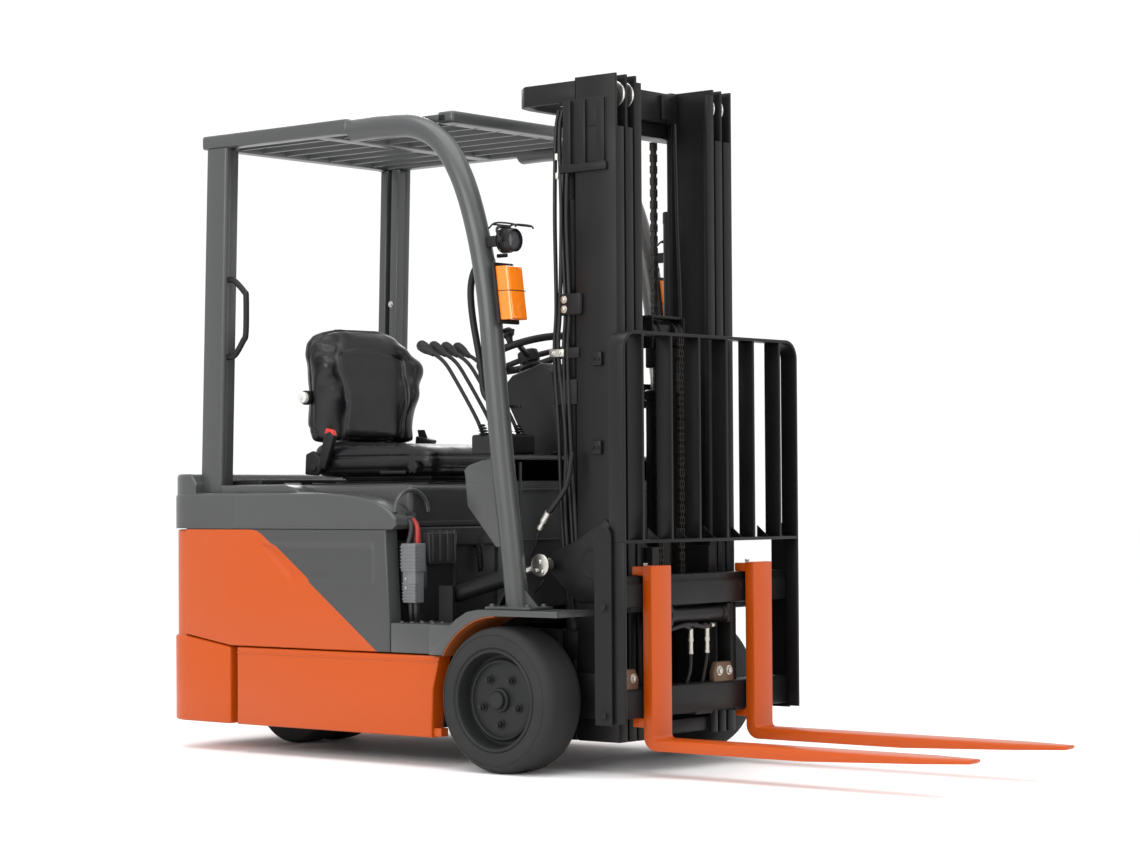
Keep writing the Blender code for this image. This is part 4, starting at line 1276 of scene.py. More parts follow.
# wheels
def makeFrontWheels():
    for side, sign in sides:
        outer = sign * 0.545
        centre = (0, outer, 0.2285)
        way = (0, -sign, 0)
        tread = [
            (0.1613, 0.006),
            (0.166, 0.001),
            (0.190, 0.0),
            (0.207, 0.003),
            (0.2165, 0.010),
            (0.2235, 0.020),
            (0.2275, 0.032),
            (0.2285, 0.045),
        ]
        tread += [
            (0.2285, 0.133),
            (0.2275, 0.146),
            (0.2235, 0.158),
            (0.2165, 0.168),
            (0.207, 0.175),
            (0.190, 0.178),
            (0.166, 0.177),
            (0.1613, 0.172),
        ]
        rings = [
            lathe([(r - 0.0012, 0.0035), (r, 0.0008), (r + 0.0012, 0.0035)], centre, way, 96) for r in (
                0.172, 0.205,
            )
        ]
        piece(
            side + "FrontTyre",
            side + "_front_wheel",
            "tyre_rubber",
            [lathe(tread, centre, way, 112), *rings],
            side + "_front_tyre",
        )
        rim = [
            (0.000, 0.041),
            (0.060, 0.041),
            (0.100, 0.041),
            (0.120, 0.044),
            (0.131, 0.052),
            (0.140, 0.052),
            (0.145, 0.040),
            (0.146, 0.012),
        ]
        rim += [
            (0.150, 0.004),
            (0.157, 0.002),
            (0.161, 0.004),
            (0.161, 0.174),
            (0.148, 0.174),
            (0.144, 0.075),
            (0.0, 0.070),
        ]
        shapes = [lathe(rim, centre, way, 80, closed=False)]
        shapes.append(
            lathe(
                [(0.118, 0.0405), (0.122, 0.0385), (0.126, 0.0405), (0.126, 0.048), (0.118, 0.046)],
                centre,
                way,
                80,
            ),
        )
        hub = [
            (0.0, 0.012),
            (0.024, 0.013),
            (0.0275, 0.017),
            (0.029, 0.028),
            (0.036, 0.030),
            (0.038, 0.034),
            (0.038, 0.045),
            (0.0, 0.045),
        ]
        shapes.append(lathe(hub, centre, way, 40, closed=False))
        shapes.append(bar((0, outer - sign * 0.030, 0.2285), (0, outer - sign * 0.0795, 0.2285), 0.036, 32))
        piece(side + "FrontRim", side + "_front_wheel", "rim_grey", shapes, side + "_front_rim")
        nuts = []
        for i in range(5):
            a = math.radians(90 + 72 * i + 36)
            at = (0.076 * math.cos(a), outer - sign * 0.041, 0.2285 + 0.076 * math.sin(a))
            nuts += nut(at, (0, sign, 0), 0.022, 0.014)
            nuts.append(bar((at[0], at[1], at[2]), (at[0], at[1] + sign * 0.022, at[2]), 0.007, 14))
        piece(side + "WheelNuts", side + "_front_wheel", "rim_grey", nuts)


def makeRearWheels():
    x, z = -1.30, 0.1905
    for side, sign in sides:
        start = (x, sign * 0.018, z)
        tread = [
            (0.1006, 0.003),
            (0.106, 0.0),
            (0.168, 0.0),
            (0.181, 0.004),
            (0.1885, 0.014),
            (0.1905, 0.028),
            (0.1905, 0.099),
            (0.1885, 0.113),
            (0.181, 0.123),
            (0.168, 0.127),
            (0.106, 0.127),
            (0.1006, 0.124),
        ]
        piece(
            side + "RearTyre",
            "rear_wheels",
            "tyre_rubber",
            [lathe(tread, start, (0, sign, 0), 80)],
            side + "_rear_tyre",
        )
    shapes = [crossBar(x, z, (-0.135, 0.135), 0.025, 24)]
    nuts = []
    for _, sign in sides:
        hub = [
            (0.0, 0.024),
            (0.100, 0.024),
            (0.100, 0.118),
            (0.088, 0.118),
            (0.082, 0.100),
            (0.050, 0.094),
            (0.040, 0.114),
            (0.0, 0.117),
        ]
        shapes.append(lathe(hub, (x, sign * 0.0, z), (0, sign, 0), 48, closed=False))
        for i in range(6):
            a = math.radians(60 * i)
            nuts += nut(
                (x + 0.064 * math.cos(a), sign * 0.096, z + 0.064 * math.sin(a)), (0, sign, 0), 0.017, 0.010,
            )
    piece("rearHub", "rear_wheels", "rim_grey", shapes, "rear_wheel_hub")
    piece("rearNuts", "rear_wheels", "zinc", nuts)


makeGuard()
makeLamps()
makeControls()
makeFrontWheels()
makeRearWheels()
print("cab and wheels made")


# mast
mast = dict(front=0.310, rear=0.145, half=0.303, low=0.0965, top=2.180, flange=0.018, web=0.010)
stageRows = {"outer": (0.303, 0.042), "middle": (0.252, 0.036), "inner": (0.207, 0.035)}


# A channel open towards the middle, with its front flange cut away at the top for a roller
def railShapes(row, sign, notch=0.165):
    a, wide = stageRows[row]
    b, w = a - wide, a - mast["web"]
    r, f, g = mast["rear"], mast["front"], mast["flange"]
    full = [(r, a), (f, a), (f, b), (f - g, b), (f - g, w), (r + g, w), (r + g, b), (r, b)]
    cut = [(r, a), (f, a), (f, w), (r + g, w), (r + g, b), (r, b)]
    split = mast["top"] - notch
    lower = slab([(x, sign * y) for x, y in full], "z", mast["low"], split)
    upper = slab([(x, sign * y) for x, y in cut], "z", split, mast["top"])
    flat = lambda mid, edge: abs(edge.verts[0].co.z - edge.verts[1].co.z) > 0.05
    return [rounded(lower, 0.0025, 2, flat), rounded(upper, 0.0025, 2, flat)]


def tieShape(z, rear, thick, arm, soft=0.004):
    half, r = mast["half"], mast["rear"]
    line = [(r + 0.010, half), (rear + 0.05, half), (rear + 0.012, half - 0.03), (rear, half - 0.08)]
    outer = line + [(x, -y) for x, y in reversed(line)]
    inner = [(r + 0.010, half - arm), (rear + 0.06, half - arm), (rear + thick, half - 0.09)]
    inner = inner + [(x, -y) for x, y in reversed(inner)]
    return rounded(slab(outer + inner[::-1], "z", *z), soft, 2)


def makeOuterMast():
    half = mast["half"]
    shapes = [tieShape((0.350, 0.440), 0.015, 0.020, 0.011), tieShape((1.150, 1.230), 0.015, 0.020, 0.011)]
    shapes.append(tieShape((2.105, 2.172), -0.115, 0.030, 0.011, 0.006))
    for _, sign in sides:
        shapes += railShapes("outer", sign)
        y = span(sign, half - 0.006, half + 0.0115)
        shapes.append(rounded(box((0.0, 0.225), y, (0.1685, 0.3085)), 0.006, 2))
        shapes.append(
            lathe(
                [(0.0595, 0.0), (0.086, 0.0), (0.086, 0.018), (0.0595, 0.018)],
                (0, sign * (half - 0.0065), 0.2285),
                (0, sign, 0),
                40,
            ),
        )
        lug = [
            (0.268, 0.790),
            (0.285, 0.770),
            (0.285, 0.545),
            (0.262, 0.530),
            (0.150, 0.530),
            (0.060, 0.606),
            (0.030, 0.625),
        ]
        lug += [(0.022, 0.645), (0.030, 0.668), (0.060, 0.684), (0.150, 0.725)]
        shapes.append(rounded(slab(lug, "y", sign * (half - 0.004), sign * (half + 0.0118)), 0.003, 2))
        shapes.append(
            lathe(
                [(0.040, 0.0), (0.050, 0.0), (0.050, 0.014), (0.040, 0.014)],
                (0.215, sign * (half - 0.001), 0.652),
                (0, sign, 0),
                40,
            ),
        )
        shapes.append(crossBar(0.050, 0.645, span(sign, half, 0.368), 0.012, 24))
        shapes.append(rounded(box((0.065, 0.136), span(sign, 0.195, 0.300), (0.0965, 0.118)), 0.002, 1))
        # upper bracket box behind the rail, under the top tie
        shapes.append(rounded(box((0.100, 0.275), span(sign, 0.298, 0.3062), (1.890, 2.112)), 0.003, 2))
        shapes.append(rounded(box((0.088, 0.279), span(sign, 0.300, 0.3160), (1.880, 1.906)), 0.004, 2))
        for x0, x1 in ((0.104, 0.136), (0.170, 0.196), (0.238, 0.272)):
            shapes.append(rounded(box((x0, x1), span(sign, 0.304, 0.3145), (1.900, 2.108)), 0.003, 2))
        shapes.append(rounded(box((0.200, 0.236), span(sign, 0.304, 0.3095), (2.020, 2.075)), 0.003, 2))
        # hose bracket, side blocks and stops
        shapes.append(rounded(box((0.085, 0.175), span(sign, 0.300, 0.3165), (1.430, 1.500)), 0.010, 3))
        shapes.append(rounded(box((0.060, 0.160), span(sign, 0.302, 0.3085), (1.296, 1.330)), 0.003, 2))
        for x, z in ((0.236, 1.290), (0.232, 1.013)):
            shapes.append(
                rounded(
                    box((x - 0.020, x + 0.020), span(sign, 0.302, 0.3165), (z - 0.022, z + 0.022)), 0.004, 2,
                ),
            )
            for shift in (-0.010, 0.010):
                shapes.append(bar((x + shift, sign * 0.316, z), (x + shift, sign * 0.3205, z), 0.0055, 14))
    piece("outerMastWork", "outer_stage", "mast_black", shapes, "outer_mast")
    zinc = []
    for _, sign in sides:
        zinc.append(
            rounded(bar((0.050, sign * 0.3685, 0.645), (0.050, sign * 0.3745, 0.645), 0.036, 32), 0.0015, 2),
        )
        for x, z, wide in ((0.052, 0.655, 0.017), (0.036, 0.628, 0.014), (0.062, 0.624, 0.014)):
            zinc += nut((x, sign * 0.3745, z), (0, sign, 0), wide, 0.006, False)
        for z in (1.450, 1.480):
            zinc += nut((0.108, sign * 0.3165, z), (0, sign, 0), 0.017, 0.007)
        zinc.append(rounded(box((0.046, 0.105), span(sign, 0.309, 0.3175), (1.301, 1.325)), 0.002, 2))
        zinc += nut((0.062, sign * 0.3175, 1.313), (0, sign, 0), 0.011, 0.005)
        zinc += nut((0.090, sign * 0.3175, 1.313), (0, sign, 0), 0.011, 0.005)
    piece("mastFixings", "outer_stage", "zinc", zinc)
    rollers = []
    for _, sign in sides:
        profile = [
            (0.010, 0.0), (0.039, 0.0), (0.042, 0.0015), (0.042, 0.0065), (0.039, 0.008), (0.010, 0.008),
        ]
        rollers.append(lathe(profile, (0.268, sign * 0.2528, 2.120), (0, sign, 0), 40))
    piece("outerTopRollers", "outer_stage", "bright_steel", rollers)


def makeHoses():
    hoses = []
    for _, sign in sides:
        for i in range(4):
            x = 0.058 + 0.019 * i
            y = sign * (0.2995 + 0.004 * (i % 2))
            sway = 0.012 * math.sin(i * 1.9)
            line = [
                (x + 0.010, y - sign * 0.012, 2.085),
                (x + 0.006, y, 2.00),
                (x + sway, y, 1.75),
                (x + 0.004, y, 1.46),
                (x - 0.004, y, 1.315),
            ]
            line += [
                (x + 0.012 + sway, y, 1.06),
                (x + 0.020, y, 0.84),
                (x + 0.030, y - sign * 0.004, 0.66),
                (x + 0.036, y - sign * 0.020, 0.50),
                (x + 0.030, y - sign * 0.050, 0.36),
            ]
            hoses.append(tube(curved(line, 8), 0.0068, 3))
        feed = [
            (0.150, sign * 0.330, 1.00),
            (0.140, sign * 0.345, 0.900),
            (0.105, sign * 0.360, 0.840),
            (0.078, sign * 0.366, 0.808),
        ]
        hoses.append(tube(curved(feed, 7), 0.0085, 3))
        tail = [
            (0.046, sign * 0.368, 0.762),
            (0.030, sign * 0.366, 0.725),
            (0.012, sign * 0.358, 0.690),
            (-0.010, sign * 0.352, 0.672),
        ]
        hoses.append(tube(curved(tail, 6), 0.0045, 3))
        drain = [(0.060, sign * 0.365, 0.600), (0.040, sign * 0.368, 0.575), (0.020, sign * 0.362, 0.560)]
        hoses.append(tube(curved(drain, 5), 0.0032, 2))
    piece("mastHoses", "outer_stage", "hose_rubber", hoses)
    fittings = []
    for _, sign in sides:
        a, b = Vector((0.080, sign * 0.366, 0.811)), Vector((0.044, sign * 0.368, 0.758))
        way = (b - a).normalized()
        fittings.append(bar(a, a + way * 0.026, 0.0115, 20))
        fittings += [
            rounded(bar(a + way * 0.026, a + way * 0.038, 0.0125, 6), 0.001, 1),
            bar(a + way * 0.038, a + way * 0.052, 0.0085, 18),
        ]
        fittings += [rounded(bar(a + way * 0.052, b, 0.0105, 6), 0.001, 1)]
        fittings.append(bar((0.070, sign * 0.300, 1.925), (0.070, sign * 0.300, 1.945), 0.010, 16))
        fittings += nut((0.070, sign * 0.300, 1.885), (0, 0, -1), 0.017, 0.020, False)
    piece("hoseFittings", "outer_stage", "zinc", fittings)


# A leaf chain hanging straight, seen as rows of plates and pins
def chainShapes(x, y, low, high, across=0.020):
    shapes, pitch = [], 0.0191
    count = int((high - low) / pitch)
    for i in range(count):
        z = low + i * pitch
        rows = (-0.5, 0.0, 0.5) if i % 2 else (-0.28, 0.28)
        for row in rows:
            yy = y + row * across
            shapes.append(
                box((x - 0.0075, x + 0.0075), (yy - 0.0014, yy + 0.0014), (z - 0.0035, z + pitch + 0.0035)),
            )
        shapes.append(crossBar(x, z, (y - across * 0.62, y + across * 0.62), 0.0032, 8))
    return shapes


def makeInnerStages():
    rollers = {"middle": [], "inner": []}
    for row, body, node in (
        ("middle", "middle_stage", "middle_mast"), ("inner", "inner_stage", "inner_mast"),
    ):
        shapes = []
        for _, sign in sides:
            shapes += railShapes(row, sign, 0.165 if row == "middle" else 0.0 + 0.02)
            a, wide = stageRows[row]
            out = 0.292 if row == "middle" else 0.2412
            z = 0.300 if row == "middle" else 0.200
            shapes.append(crossBar(0.2275, z, span(sign, a - 0.001, out), 0.0637, 36))
            if row == "middle":
                shapes.append(bar((0.098, sign * 0.258, 0.220), (0.098, sign * 0.258, 2.050), 0.017, 24))
        if row == "middle":
            shapes.append(rounded(box((0.060, 0.139), (-0.280, 0.280), (2.030, 2.098)), 0.004, 2))
            shapes.append(rounded(box((0.110, 0.139), (-0.224, 0.224), (0.130, 0.250)), 0.004, 2))
            for y in (span(-1, 0.213, 0.224), span(1, 0.213, 0.224)):
                shapes.append(box((0.129, 0.150), y, (2.032, 2.096)))
                shapes.append(box((0.129, 0.150), y, (0.132, 0.248)))
        else:
            shapes.append(rounded(box((0.148, 0.180), (-0.177, 0.177), (2.075, 2.172)), 0.004, 2))
            shapes.append(rounded(box((0.148, 0.300), (-0.177, 0.177), (0.1045, 0.150)), 0.004, 2))
            shapes.append(rounded(box((0.180, 0.190), (0.090, 0.130), (2.085, 2.165)), 0.002, 2))
        piece(row + "MastWork", body, "mast_black", shapes, node)
    discs = []
    for _, sign in sides:
        profile = [
            (0.010, 0.0), (0.039, 0.0), (0.042, 0.0015), (0.042, 0.005), (0.039, 0.0065), (0.010, 0.0065),
        ]
        discs.append(lathe(profile, (0.268, sign * 0.2083, 2.120), (0, sign, 0), 40))
    piece("middleTopRollers", "middle_stage", "bright_steel", discs)
    # chains, each with a mesh of its own
    for side, sign in sides:
        y = sign * 0.120
        obj = piece(side + "StageChain", "middle_stage", "chain_steel", chainShapes(0.128, y, 0.255, 2.030))
        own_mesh(obj)
        y = sign * 0.055
        obj = piece(side + "LiftChain", "free_lift_head", "chain_steel", chainShapes(0.280, y, 0.600, 1.380))
        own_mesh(obj)
    # cylinder and head
    tubeTop = [
        (0.0, 0.1503),
        (0.040, 0.1503),
        (0.040, 1.165),
        (0.045, 1.168),
        (0.045, 1.196),
        (0.040, 1.200),
        (0.0258, 1.200),
        (0.0258, 1.100),
    ]
    piece(
        "freeCylinder",
        "inner_stage",
        "mast_black",
        [lathe(tubeTop, (0.235, 0, 0), (0, 0, 1), 40, closed=False)],
        "free_lift_cylinder",
    )
    rodShapes = [bar((0.235, 0, 0.350), (0.235, 0, 1.290), 0.025, 32)]
    piece("freeRod", "free_lift_head", "bright_steel", rodShapes, "free_lift_rod")
    head = [
        rounded(box((0.205, 0.265), (-0.030, 0.030), (1.270, 1.410)), 0.006, 3),
        crossBar(0.235, 1.380, (-0.085, 0.085), 0.014, 24),
    ]
    for _, sign in sides:
        wheel = [
            (0.014, 0.0),
            (0.045, 0.0),
            (0.045, 0.006),
            (0.038, 0.009),
            (0.038, 0.031),
            (0.045, 0.034),
            (0.045, 0.040),
            (0.014, 0.040),
        ]
        head.append(lathe(wheel, (0.235, sign * 0.035, 1.380), (0, sign, 0), 40))
        head.append(rounded(box((0.190, 0.280), span(sign, 0.079, 0.085), (1.330, 1.432)), 0.004, 2))
        head += nut((0.235, sign * 0.085, 1.380), (0, sign, 0), 0.026, 0.010)
    head.append(rounded(box((0.196, 0.274), (-0.083, 0.083), (1.426, 1.436)), 0.003, 2))
    piece("liftHead", "free_lift_head", "mast_black", head)
    for side, sign in sides:
        seg = [
            (0.0, 0.118),
            (0.030, 0.118),
            (0.031, 1.760),
            (0.034, 1.763),
            (0.034, 1.797),
            (0.030, 1.800),
            (0.0178, 1.800),
            (0.0178, 1.70),
        ]
        seg = [(min(r, 0.0325), z) for r, z in seg]
        piece(
            side + "LiftTube",
            "outer_stage",
            "mast_black",
            [lathe(seg, (0.098, sign * 0.258, 0), (0, 0, 1), 32, closed=False)],
            side + "_lift_cylinder",
        )
    rear = []
    for x, y in ((0.190, -0.135), (0.200, -0.115), (0.210, 0.140)):
        rear.append(
            tube(
                curved(
                    [
                        (x, y, 0.30),
                        (x - 0.004, y, 0.80),
                        (x + 0.006, y + 0.006, 1.40),
                        (x, y, 1.75),
                        (x - 0.005, y - 0.004, 2.07),
                    ],
                    8,
                ),
                0.0065,
                3,
            ),
        )
    piece("innerHoses", "inner_stage", "hose_rubber", rear)


def makeTiltCylinders():
    foot, head = Vector((-0.330, 0, 0.545)), Vector((0.050, 0, 0.645))
    along = (head - foot).normalized()
    for side, sign in sides:
        y = Vector((0, sign * 0.350, 0))
        eye = span(sign, 0.334, 0.366)
        barrel = [
            (0.0, 0.010),
            (0.028, 0.010),
            (0.028, 0.222),
            (0.0325, 0.225),
            (0.0325, 0.248),
            (0.029, 0.250),
            (0.0133, 0.250),
            (0.0133, 0.20),
        ]
        shapes = [lathe(barrel, foot + y, along, 32, closed=False), crossBar(foot.x, foot.z, eye, 0.026, 28)]
        piece(side + "TiltBarrel", side + "_tilt_barrel", "mast_black", shapes, side + "_tilt_cylinder")
        shapes = [bar(foot + y + along * 0.110, head + y - along * 0.015, 0.0125, 24)]
        shapes.append(
            lathe(
                [(0.0136, -0.016), (0.024, -0.016), (0.024, 0.016), (0.0136, 0.016)], head + y, (0, 1, 0), 32,
            ),
        )
        piece(side + "TiltRod", side + "_tilt_ram", "bright_steel", shapes, side + "_tilt_rod")


# carriage and forks
shifter = dict(half=0.4572, rear=0.3458, front=0.410, upper=(0.520, 0.615), lower=(0.180, 0.270))


def makeShifter():
    half, rear, front = shifter["half"], shifter["rear"], shifter["front"]
    low, high = shifter["upper"]
    shapes = [
        rounded(
            slab(
                [
                    (rear, low),
                    (front, low),
                    (front, 0.588),
                    (front - 0.010, 0.600),
                    (front - 0.010, high),
                    (rear, high),
                ],
                "y",
                -half - 0.003,
                half + 0.003,
            ),
            0.003,
            2,
        ),
        rounded(
            slab(
                [(rear, 0.180), (front, 0.180), (front, 0.262), (front - 0.008, 0.270), (rear, 0.270)],
                "y",
                -half - 0.003,
                half + 0.003,
            ),
            0.003,
            2,
        ),
    ]
    for y in (-0.21, 0.0, 0.21):
        shapes.append(
            rounded(box((rear + 0.004, front + 0.0025), (y - 0.045, y + 0.045), (0.1725, 0.186)), 0.003, 1),
        )
    for _, sign in sides:
        plate = arcPoints((0.3795, 0.7365), 0.0335, 0, 180, 10) + [(0.346, 0.165), (0.413, 0.165)]
        shapes.append(rounded(slab(plate, "y", sign * half, sign * (half + 0.010)), 0.0015, 1))
        shapes.append(rounded(box((rear, 0.395), span(sign, 0.165, 0.195), (0.262, 0.528)), 0.004, 2))
        for z in (0.523, 0.194):
            shapes += nut((0.385, sign * (half + 0.010), z), (0, sign, 0), 0.024, 0.009)
    piece("shifterFrame", "side_shifter", "mast_black", shapes, "side_shift_frame")
    # the holes and slots are flat near-black discs and boxes on the bars' faces: painted shade for their
    # insides
    holes = []
    for i in range(7):
        y = -0.30 + 0.10 * i
        holes.append(bar((front - 0.0005, y, 0.570), (front + 0.0006, y, 0.570), 0.0045, 14))
    for y in (-0.10, -0.03, 0.04, 0.11):
        holes.append(box((front - 0.012, front - 0.0094), (y - 0.006, y + 0.006), (0.604, 0.6155)))
    piece("shifterHoleShade", "side_shifter", "bore_black", holes)
    # side shift cylinder behind the bars' front line, with its hoses
    tubeY = (-0.150, 0.140)
    shapes = [
        crossBar(0.378, 0.487, tubeY, 0.0255, 32),
        crossBar(0.378, 0.487, (0.118, 0.143), 0.0285, 32),
        crossBar(0.378, 0.487, (-0.153, -0.128), 0.0285, 32),
    ]
    shapes.append(rounded(box((0.352, 0.404), (0.136, 0.156), (0.455, 0.517)), 0.004, 2))
    shapes.append(rounded(box((0.352, 0.404), (-0.166, -0.146), (0.455, 0.517)), 0.004, 2))
    piece("shiftCylinder", "side_shifter", "mast_black", shapes)
    piece("shiftRod", "side_shifter", "bright_steel", [crossBar(0.378, 0.487, (-0.20, 0.196), 0.011, 20)])
    hoses, ends = [], []
    for y0, y1, drop in ((-0.120, -0.045, 0.310), (0.020, 0.040, 0.335)):
        hoses.append(
            tube(
                curved([(0.385, y0, 0.447), (0.395, (y0 + y1) / 2, 0.452), (0.392, y1, 0.440)], 5), 0.007, 3,
            ),
        )
        ends.append(bar((0.392, y1, 0.441), (0.392, y1, 0.412), 0.0085, 16))
        ends += nut((0.392, y1, 0.412), (0, 0, -1), 0.019, 0.012, False)
        ends.append(bar((0.392, y1, 0.400), (0.392, y1, 0.372), 0.0078, 16))
        ends += nut((0.392, y1, 0.372), (0, 0, -1), 0.017, 0.010, False)
        hoses.append(
            tube(
                curved([(0.392, y1, 0.364), (0.391, y1 - 0.004, drop), (0.380, y1 - 0.012, 0.262)], 5),
                0.0062,
                3,
            ),
        )
    hoses.append(
        tube(
            curved(
                [(0.388, -0.160, 0.440), (0.396, -0.07, 0.455), (0.396, 0.02, 0.446), (0.388, 0.085, 0.450)],
                6,
            ),
            0.0075,
            3,
        ),
    )
    ends += nut((0.394, -0.030, 0.452), (0, 1, 0), 0.018, 0.014, False)
    ends += nut((0.392, 0.060, 0.449), (0, 1, 0), 0.018, 0.014, False)
    piece("shiftHoses", "side_shifter", "hose_rubber", hoses)
    piece("shiftFittings", "side_shifter", "zinc", ends)
    brackets = []
    for y in (0.115, -0.375):
        line = [
            (y - 0.052, 0.268),
            (y + 0.052, 0.268),
            (y + 0.052, 0.300),
            (y + 0.036, 0.331),
            (y - 0.036, 0.331),
            (y - 0.052, 0.300),
        ]
        brackets.append(rounded(slab(line, "x", 0.382, 0.404), 0.004, 2))
    piece("shiftHooks", "side_shifter", "brown_steel", brackets)
    bolts = []
    for y in (0.090, 0.140, -0.400, -0.350):
        bolts += nut((0.404, y, 0.303), (1, 0, 0), 0.022, 0.009)
    piece("shiftBolts", "side_shifter", "zinc", bolts)


def makeBackrest():
    half, r, t = 0.4569, 0.060, 0.010
    x0, x1, high, shelf = 0.397, 0.457, 1.366, 0.727

    def frameLine(low):
        outer = (
            [(half, low)]
            + arcPoints((half - r, high - r), r, 0, 90, 10)
            + arcPoints((-half + r, high - r), r, 90, 180, 10)
            + [(-half, low)]
        )
        inner = (
            [(half - t, low)]
            + arcPoints((half - r, high - r), r - t, 0, 90, 10)
            + arcPoints((-half + r, high - r), r - t, 90, 180, 10)
            + [(-half + t, low)]
        )
        return outer + inner[::-1]

    shapes = [rounded(slab(frameLine(shelf - 0.006), "x", x0, x1), 0.0015, 2)]
    for _, sign in sides:
        shapes.append(
            rounded(box((0.4103, x1), span(sign, half - t, half), (0.170, shelf - 0.006)), 0.0015, 2),
        )
    shapes.append(rounded(box((x0, x1), (-half + 0.0095, half - 0.0095), (shelf - t, shelf)), 0.0015, 2))
    for i in range(6):
        y = 0.1435 * (i - 2.5)
        shapes.append(
            rounded(
                box((x0 + 0.001, x1 - 0.001), (y - t / 2, y + t / 2), (shelf - 0.002, high - 0.004)),
                0.0015,
                2,
            ),
        )
    for i in range(8):
        y = 0.1435 * (i - 3.5) if 0 < i < 7 else math.copysign(half - 0.012, i - 3.5)
        if 0 < i < 7:
            y = 0.1435 * (i - 3.5) + 0.07175
            if i == 6:
                continue
        tri = [(x0 + 0.012, shelf - 0.001), (x1 - 0.002, shelf - 0.001), (x0 + 0.012, shelf + 0.036)]
        shapes.append(slab(tri, "y", y + 0.0052, y + 0.0092))
    piece("backrestFrame", "side_shifter", "mast_black", shapes, "load_backrest")


def makeForks():
    face, thick, low, top, tip = 0.450, 0.035, 0.080, 0.6465, 1.570
    heel = 0.045
    line = [(face - thick, top), (face - thick, low + heel)]
    line += arcPoints((face - thick + heel, low + heel), heel, 180, 270, 10)[1:]
    line += [
        (1.000, low),
        (tip - 0.010, low + 0.0215),
        (tip - 0.002, low + 0.026),
        (tip, low + 0.031),
        (tip - 0.004, low + thick),
    ]
    line += (
        [(face + 0.014, low + thick)]
        + arcPoints((face + 0.014, low + thick + 0.014), 0.014, 270, 180, 4)[1:]
        + [(face, top)]
    )
    for side, sign in sides:
        y, half = sign * 0.266, 0.05
        blade = slab(line, "y", y - half, y + half)
        for edge in (-1, 1):
            a = Vector((1.400, y + edge * half, 0))
            b = Vector((1.570, y + edge * 0.0215, 0))
            way = Vector((-(b - a).y, (b - a).x, 0)).normalized() * -edge
            if way.y * edge < 0:
                way = -way
            cutAbove(blade, a, way)
        rounded(blade, 0.003, 2)
        hooks = [
            rounded(
                box((0.372, face - 0.020), (y - half + 0.001, y + half - 0.001), (0.6158, top - 0.003)),
                0.004,
                2,
            ),
        ]
        hooks.append(
            rounded(
                box((0.372, face - 0.020), (y - half + 0.001, y + half - 0.001), (0.150, 0.1792)), 0.004, 2,
            ),
        )
        piece(side + "ForkArm", side + "_fork_arm", "orange_paint", [blade, *hooks], side + "_fork")
        lock = [
            bar((0.392, y - 0.006, top - 0.006), (0.392, y - 0.006, top + 0.003), 0.0055, 16),
            bar((0.392, y - 0.006, top + 0.002), (0.392, y - 0.006, top + 0.007), 0.0075, 16),
        ]
        piece(side + "ForkLock", side + "_fork_arm", "zinc", lock)


makeOuterMast()
makeHoses()
makeInnerStages()
makeTiltCylinders()
makeShifter()
makeBackrest()
makeForks()
print("mast, carriage and forks made")


# seat
seat = dict(half=0.252, rear=-1.118, front=-0.530, low=0.9323, top=1.050)


# Closed skin over rings of equal count
def loft(rings):
    bm = bmesh.new()
    rows = [[bm.verts.new(p) for p in ring] for ring in rings]
    count = len(rows[0])
    for a, b in zip(rows, rows[1:]):
        for i in range(count):
            j = (i + 1) % count
            bm.faces.new((a[i], a[j], b[j], b[i]))
    bm.faces.new(rows[0][::-1])
    bm.faces.new(rows[-1])
    bmesh.ops.recalc_face_normals(bm, faces=bm.faces)
    return bm


# Blows a closed form up under its skin as cloth, moving no point further than the cap
def stuffed(name, shapes, body, replaced, most, voxel=0.006):
    source = piece(name, body, "seat_vinyl", shapes, replaced)
    mesher = source.modifiers.new("even", "REMESH")
    mesher.mode = "VOXEL"
    mesher.voxel_size = voxel
    bpy.context.view_layer.update()
    graph = bpy.context.evaluated_depsgraph_get()
    even = bpy.data.meshes.new_from_object(source.evaluated_get(graph))
    source.modifiers.clear()
    source.data = even
    before = [v.co.copy() for v in even.vertices]
    cloth = source.modifiers.new("padding", "CLOTH")
    cloth.settings.use_pressure = True
    cloth.settings.uniform_pressure_force = 4
    cloth.settings.effector_weights.gravity = 0
    cloth.settings.tension_stiffness = 20
    cloth.settings.quality = 4
    scene = bpy.context.scene
    for frameNumber in range(1, 21):
        scene.frame_set(frameNumber)
    graph = bpy.context.evaluated_depsgraph_get()
    blown = bpy.data.meshes.new_from_object(source.evaluated_get(graph))
    source.modifiers.clear()
    scene.frame_set(1)
    for v, start in zip(blown.vertices, before):
        way = v.co - start
        far = way.length
        if far > 1e-9:
            v.co = start + way * (most * math.tanh(far / most) / far)
    source.data = blown
    return source


# Shapes seams and folds in a pad's points, then smooths it
def finishPad(obj, shape):
    bm = bmesh.new()
    bm.from_mesh(obj.data)
    for _ in range(14):
        bmesh.ops.smooth_vert(
            bm, verts=bm.verts, factor=0.5, use_axis_x=True, use_axis_y=True, use_axis_z=True,
        )
    bm.normal_update()
    moves = [(v, shape(v.co - Vector((axleX, 0, 0)), v.normal)) for v in bm.verts]
    for v, move in moves:
        v.co += move
    bmesh.ops.recalc_face_normals(bm, faces=bm.faces)
    bm.to_mesh(obj.data)
    bm.free()
    obj.data.materials.clear()
    obj.data.materials.append(finishOf["seat_vinyl"])
    obj.data.shade_smooth()
    finer = obj.modifiers.new("finer", "SUBSURF")
    finer.levels = finer.render_levels = 1


def groove(distance, wide, deep):
    return -deep * math.exp(-((distance / wide) ** 2))


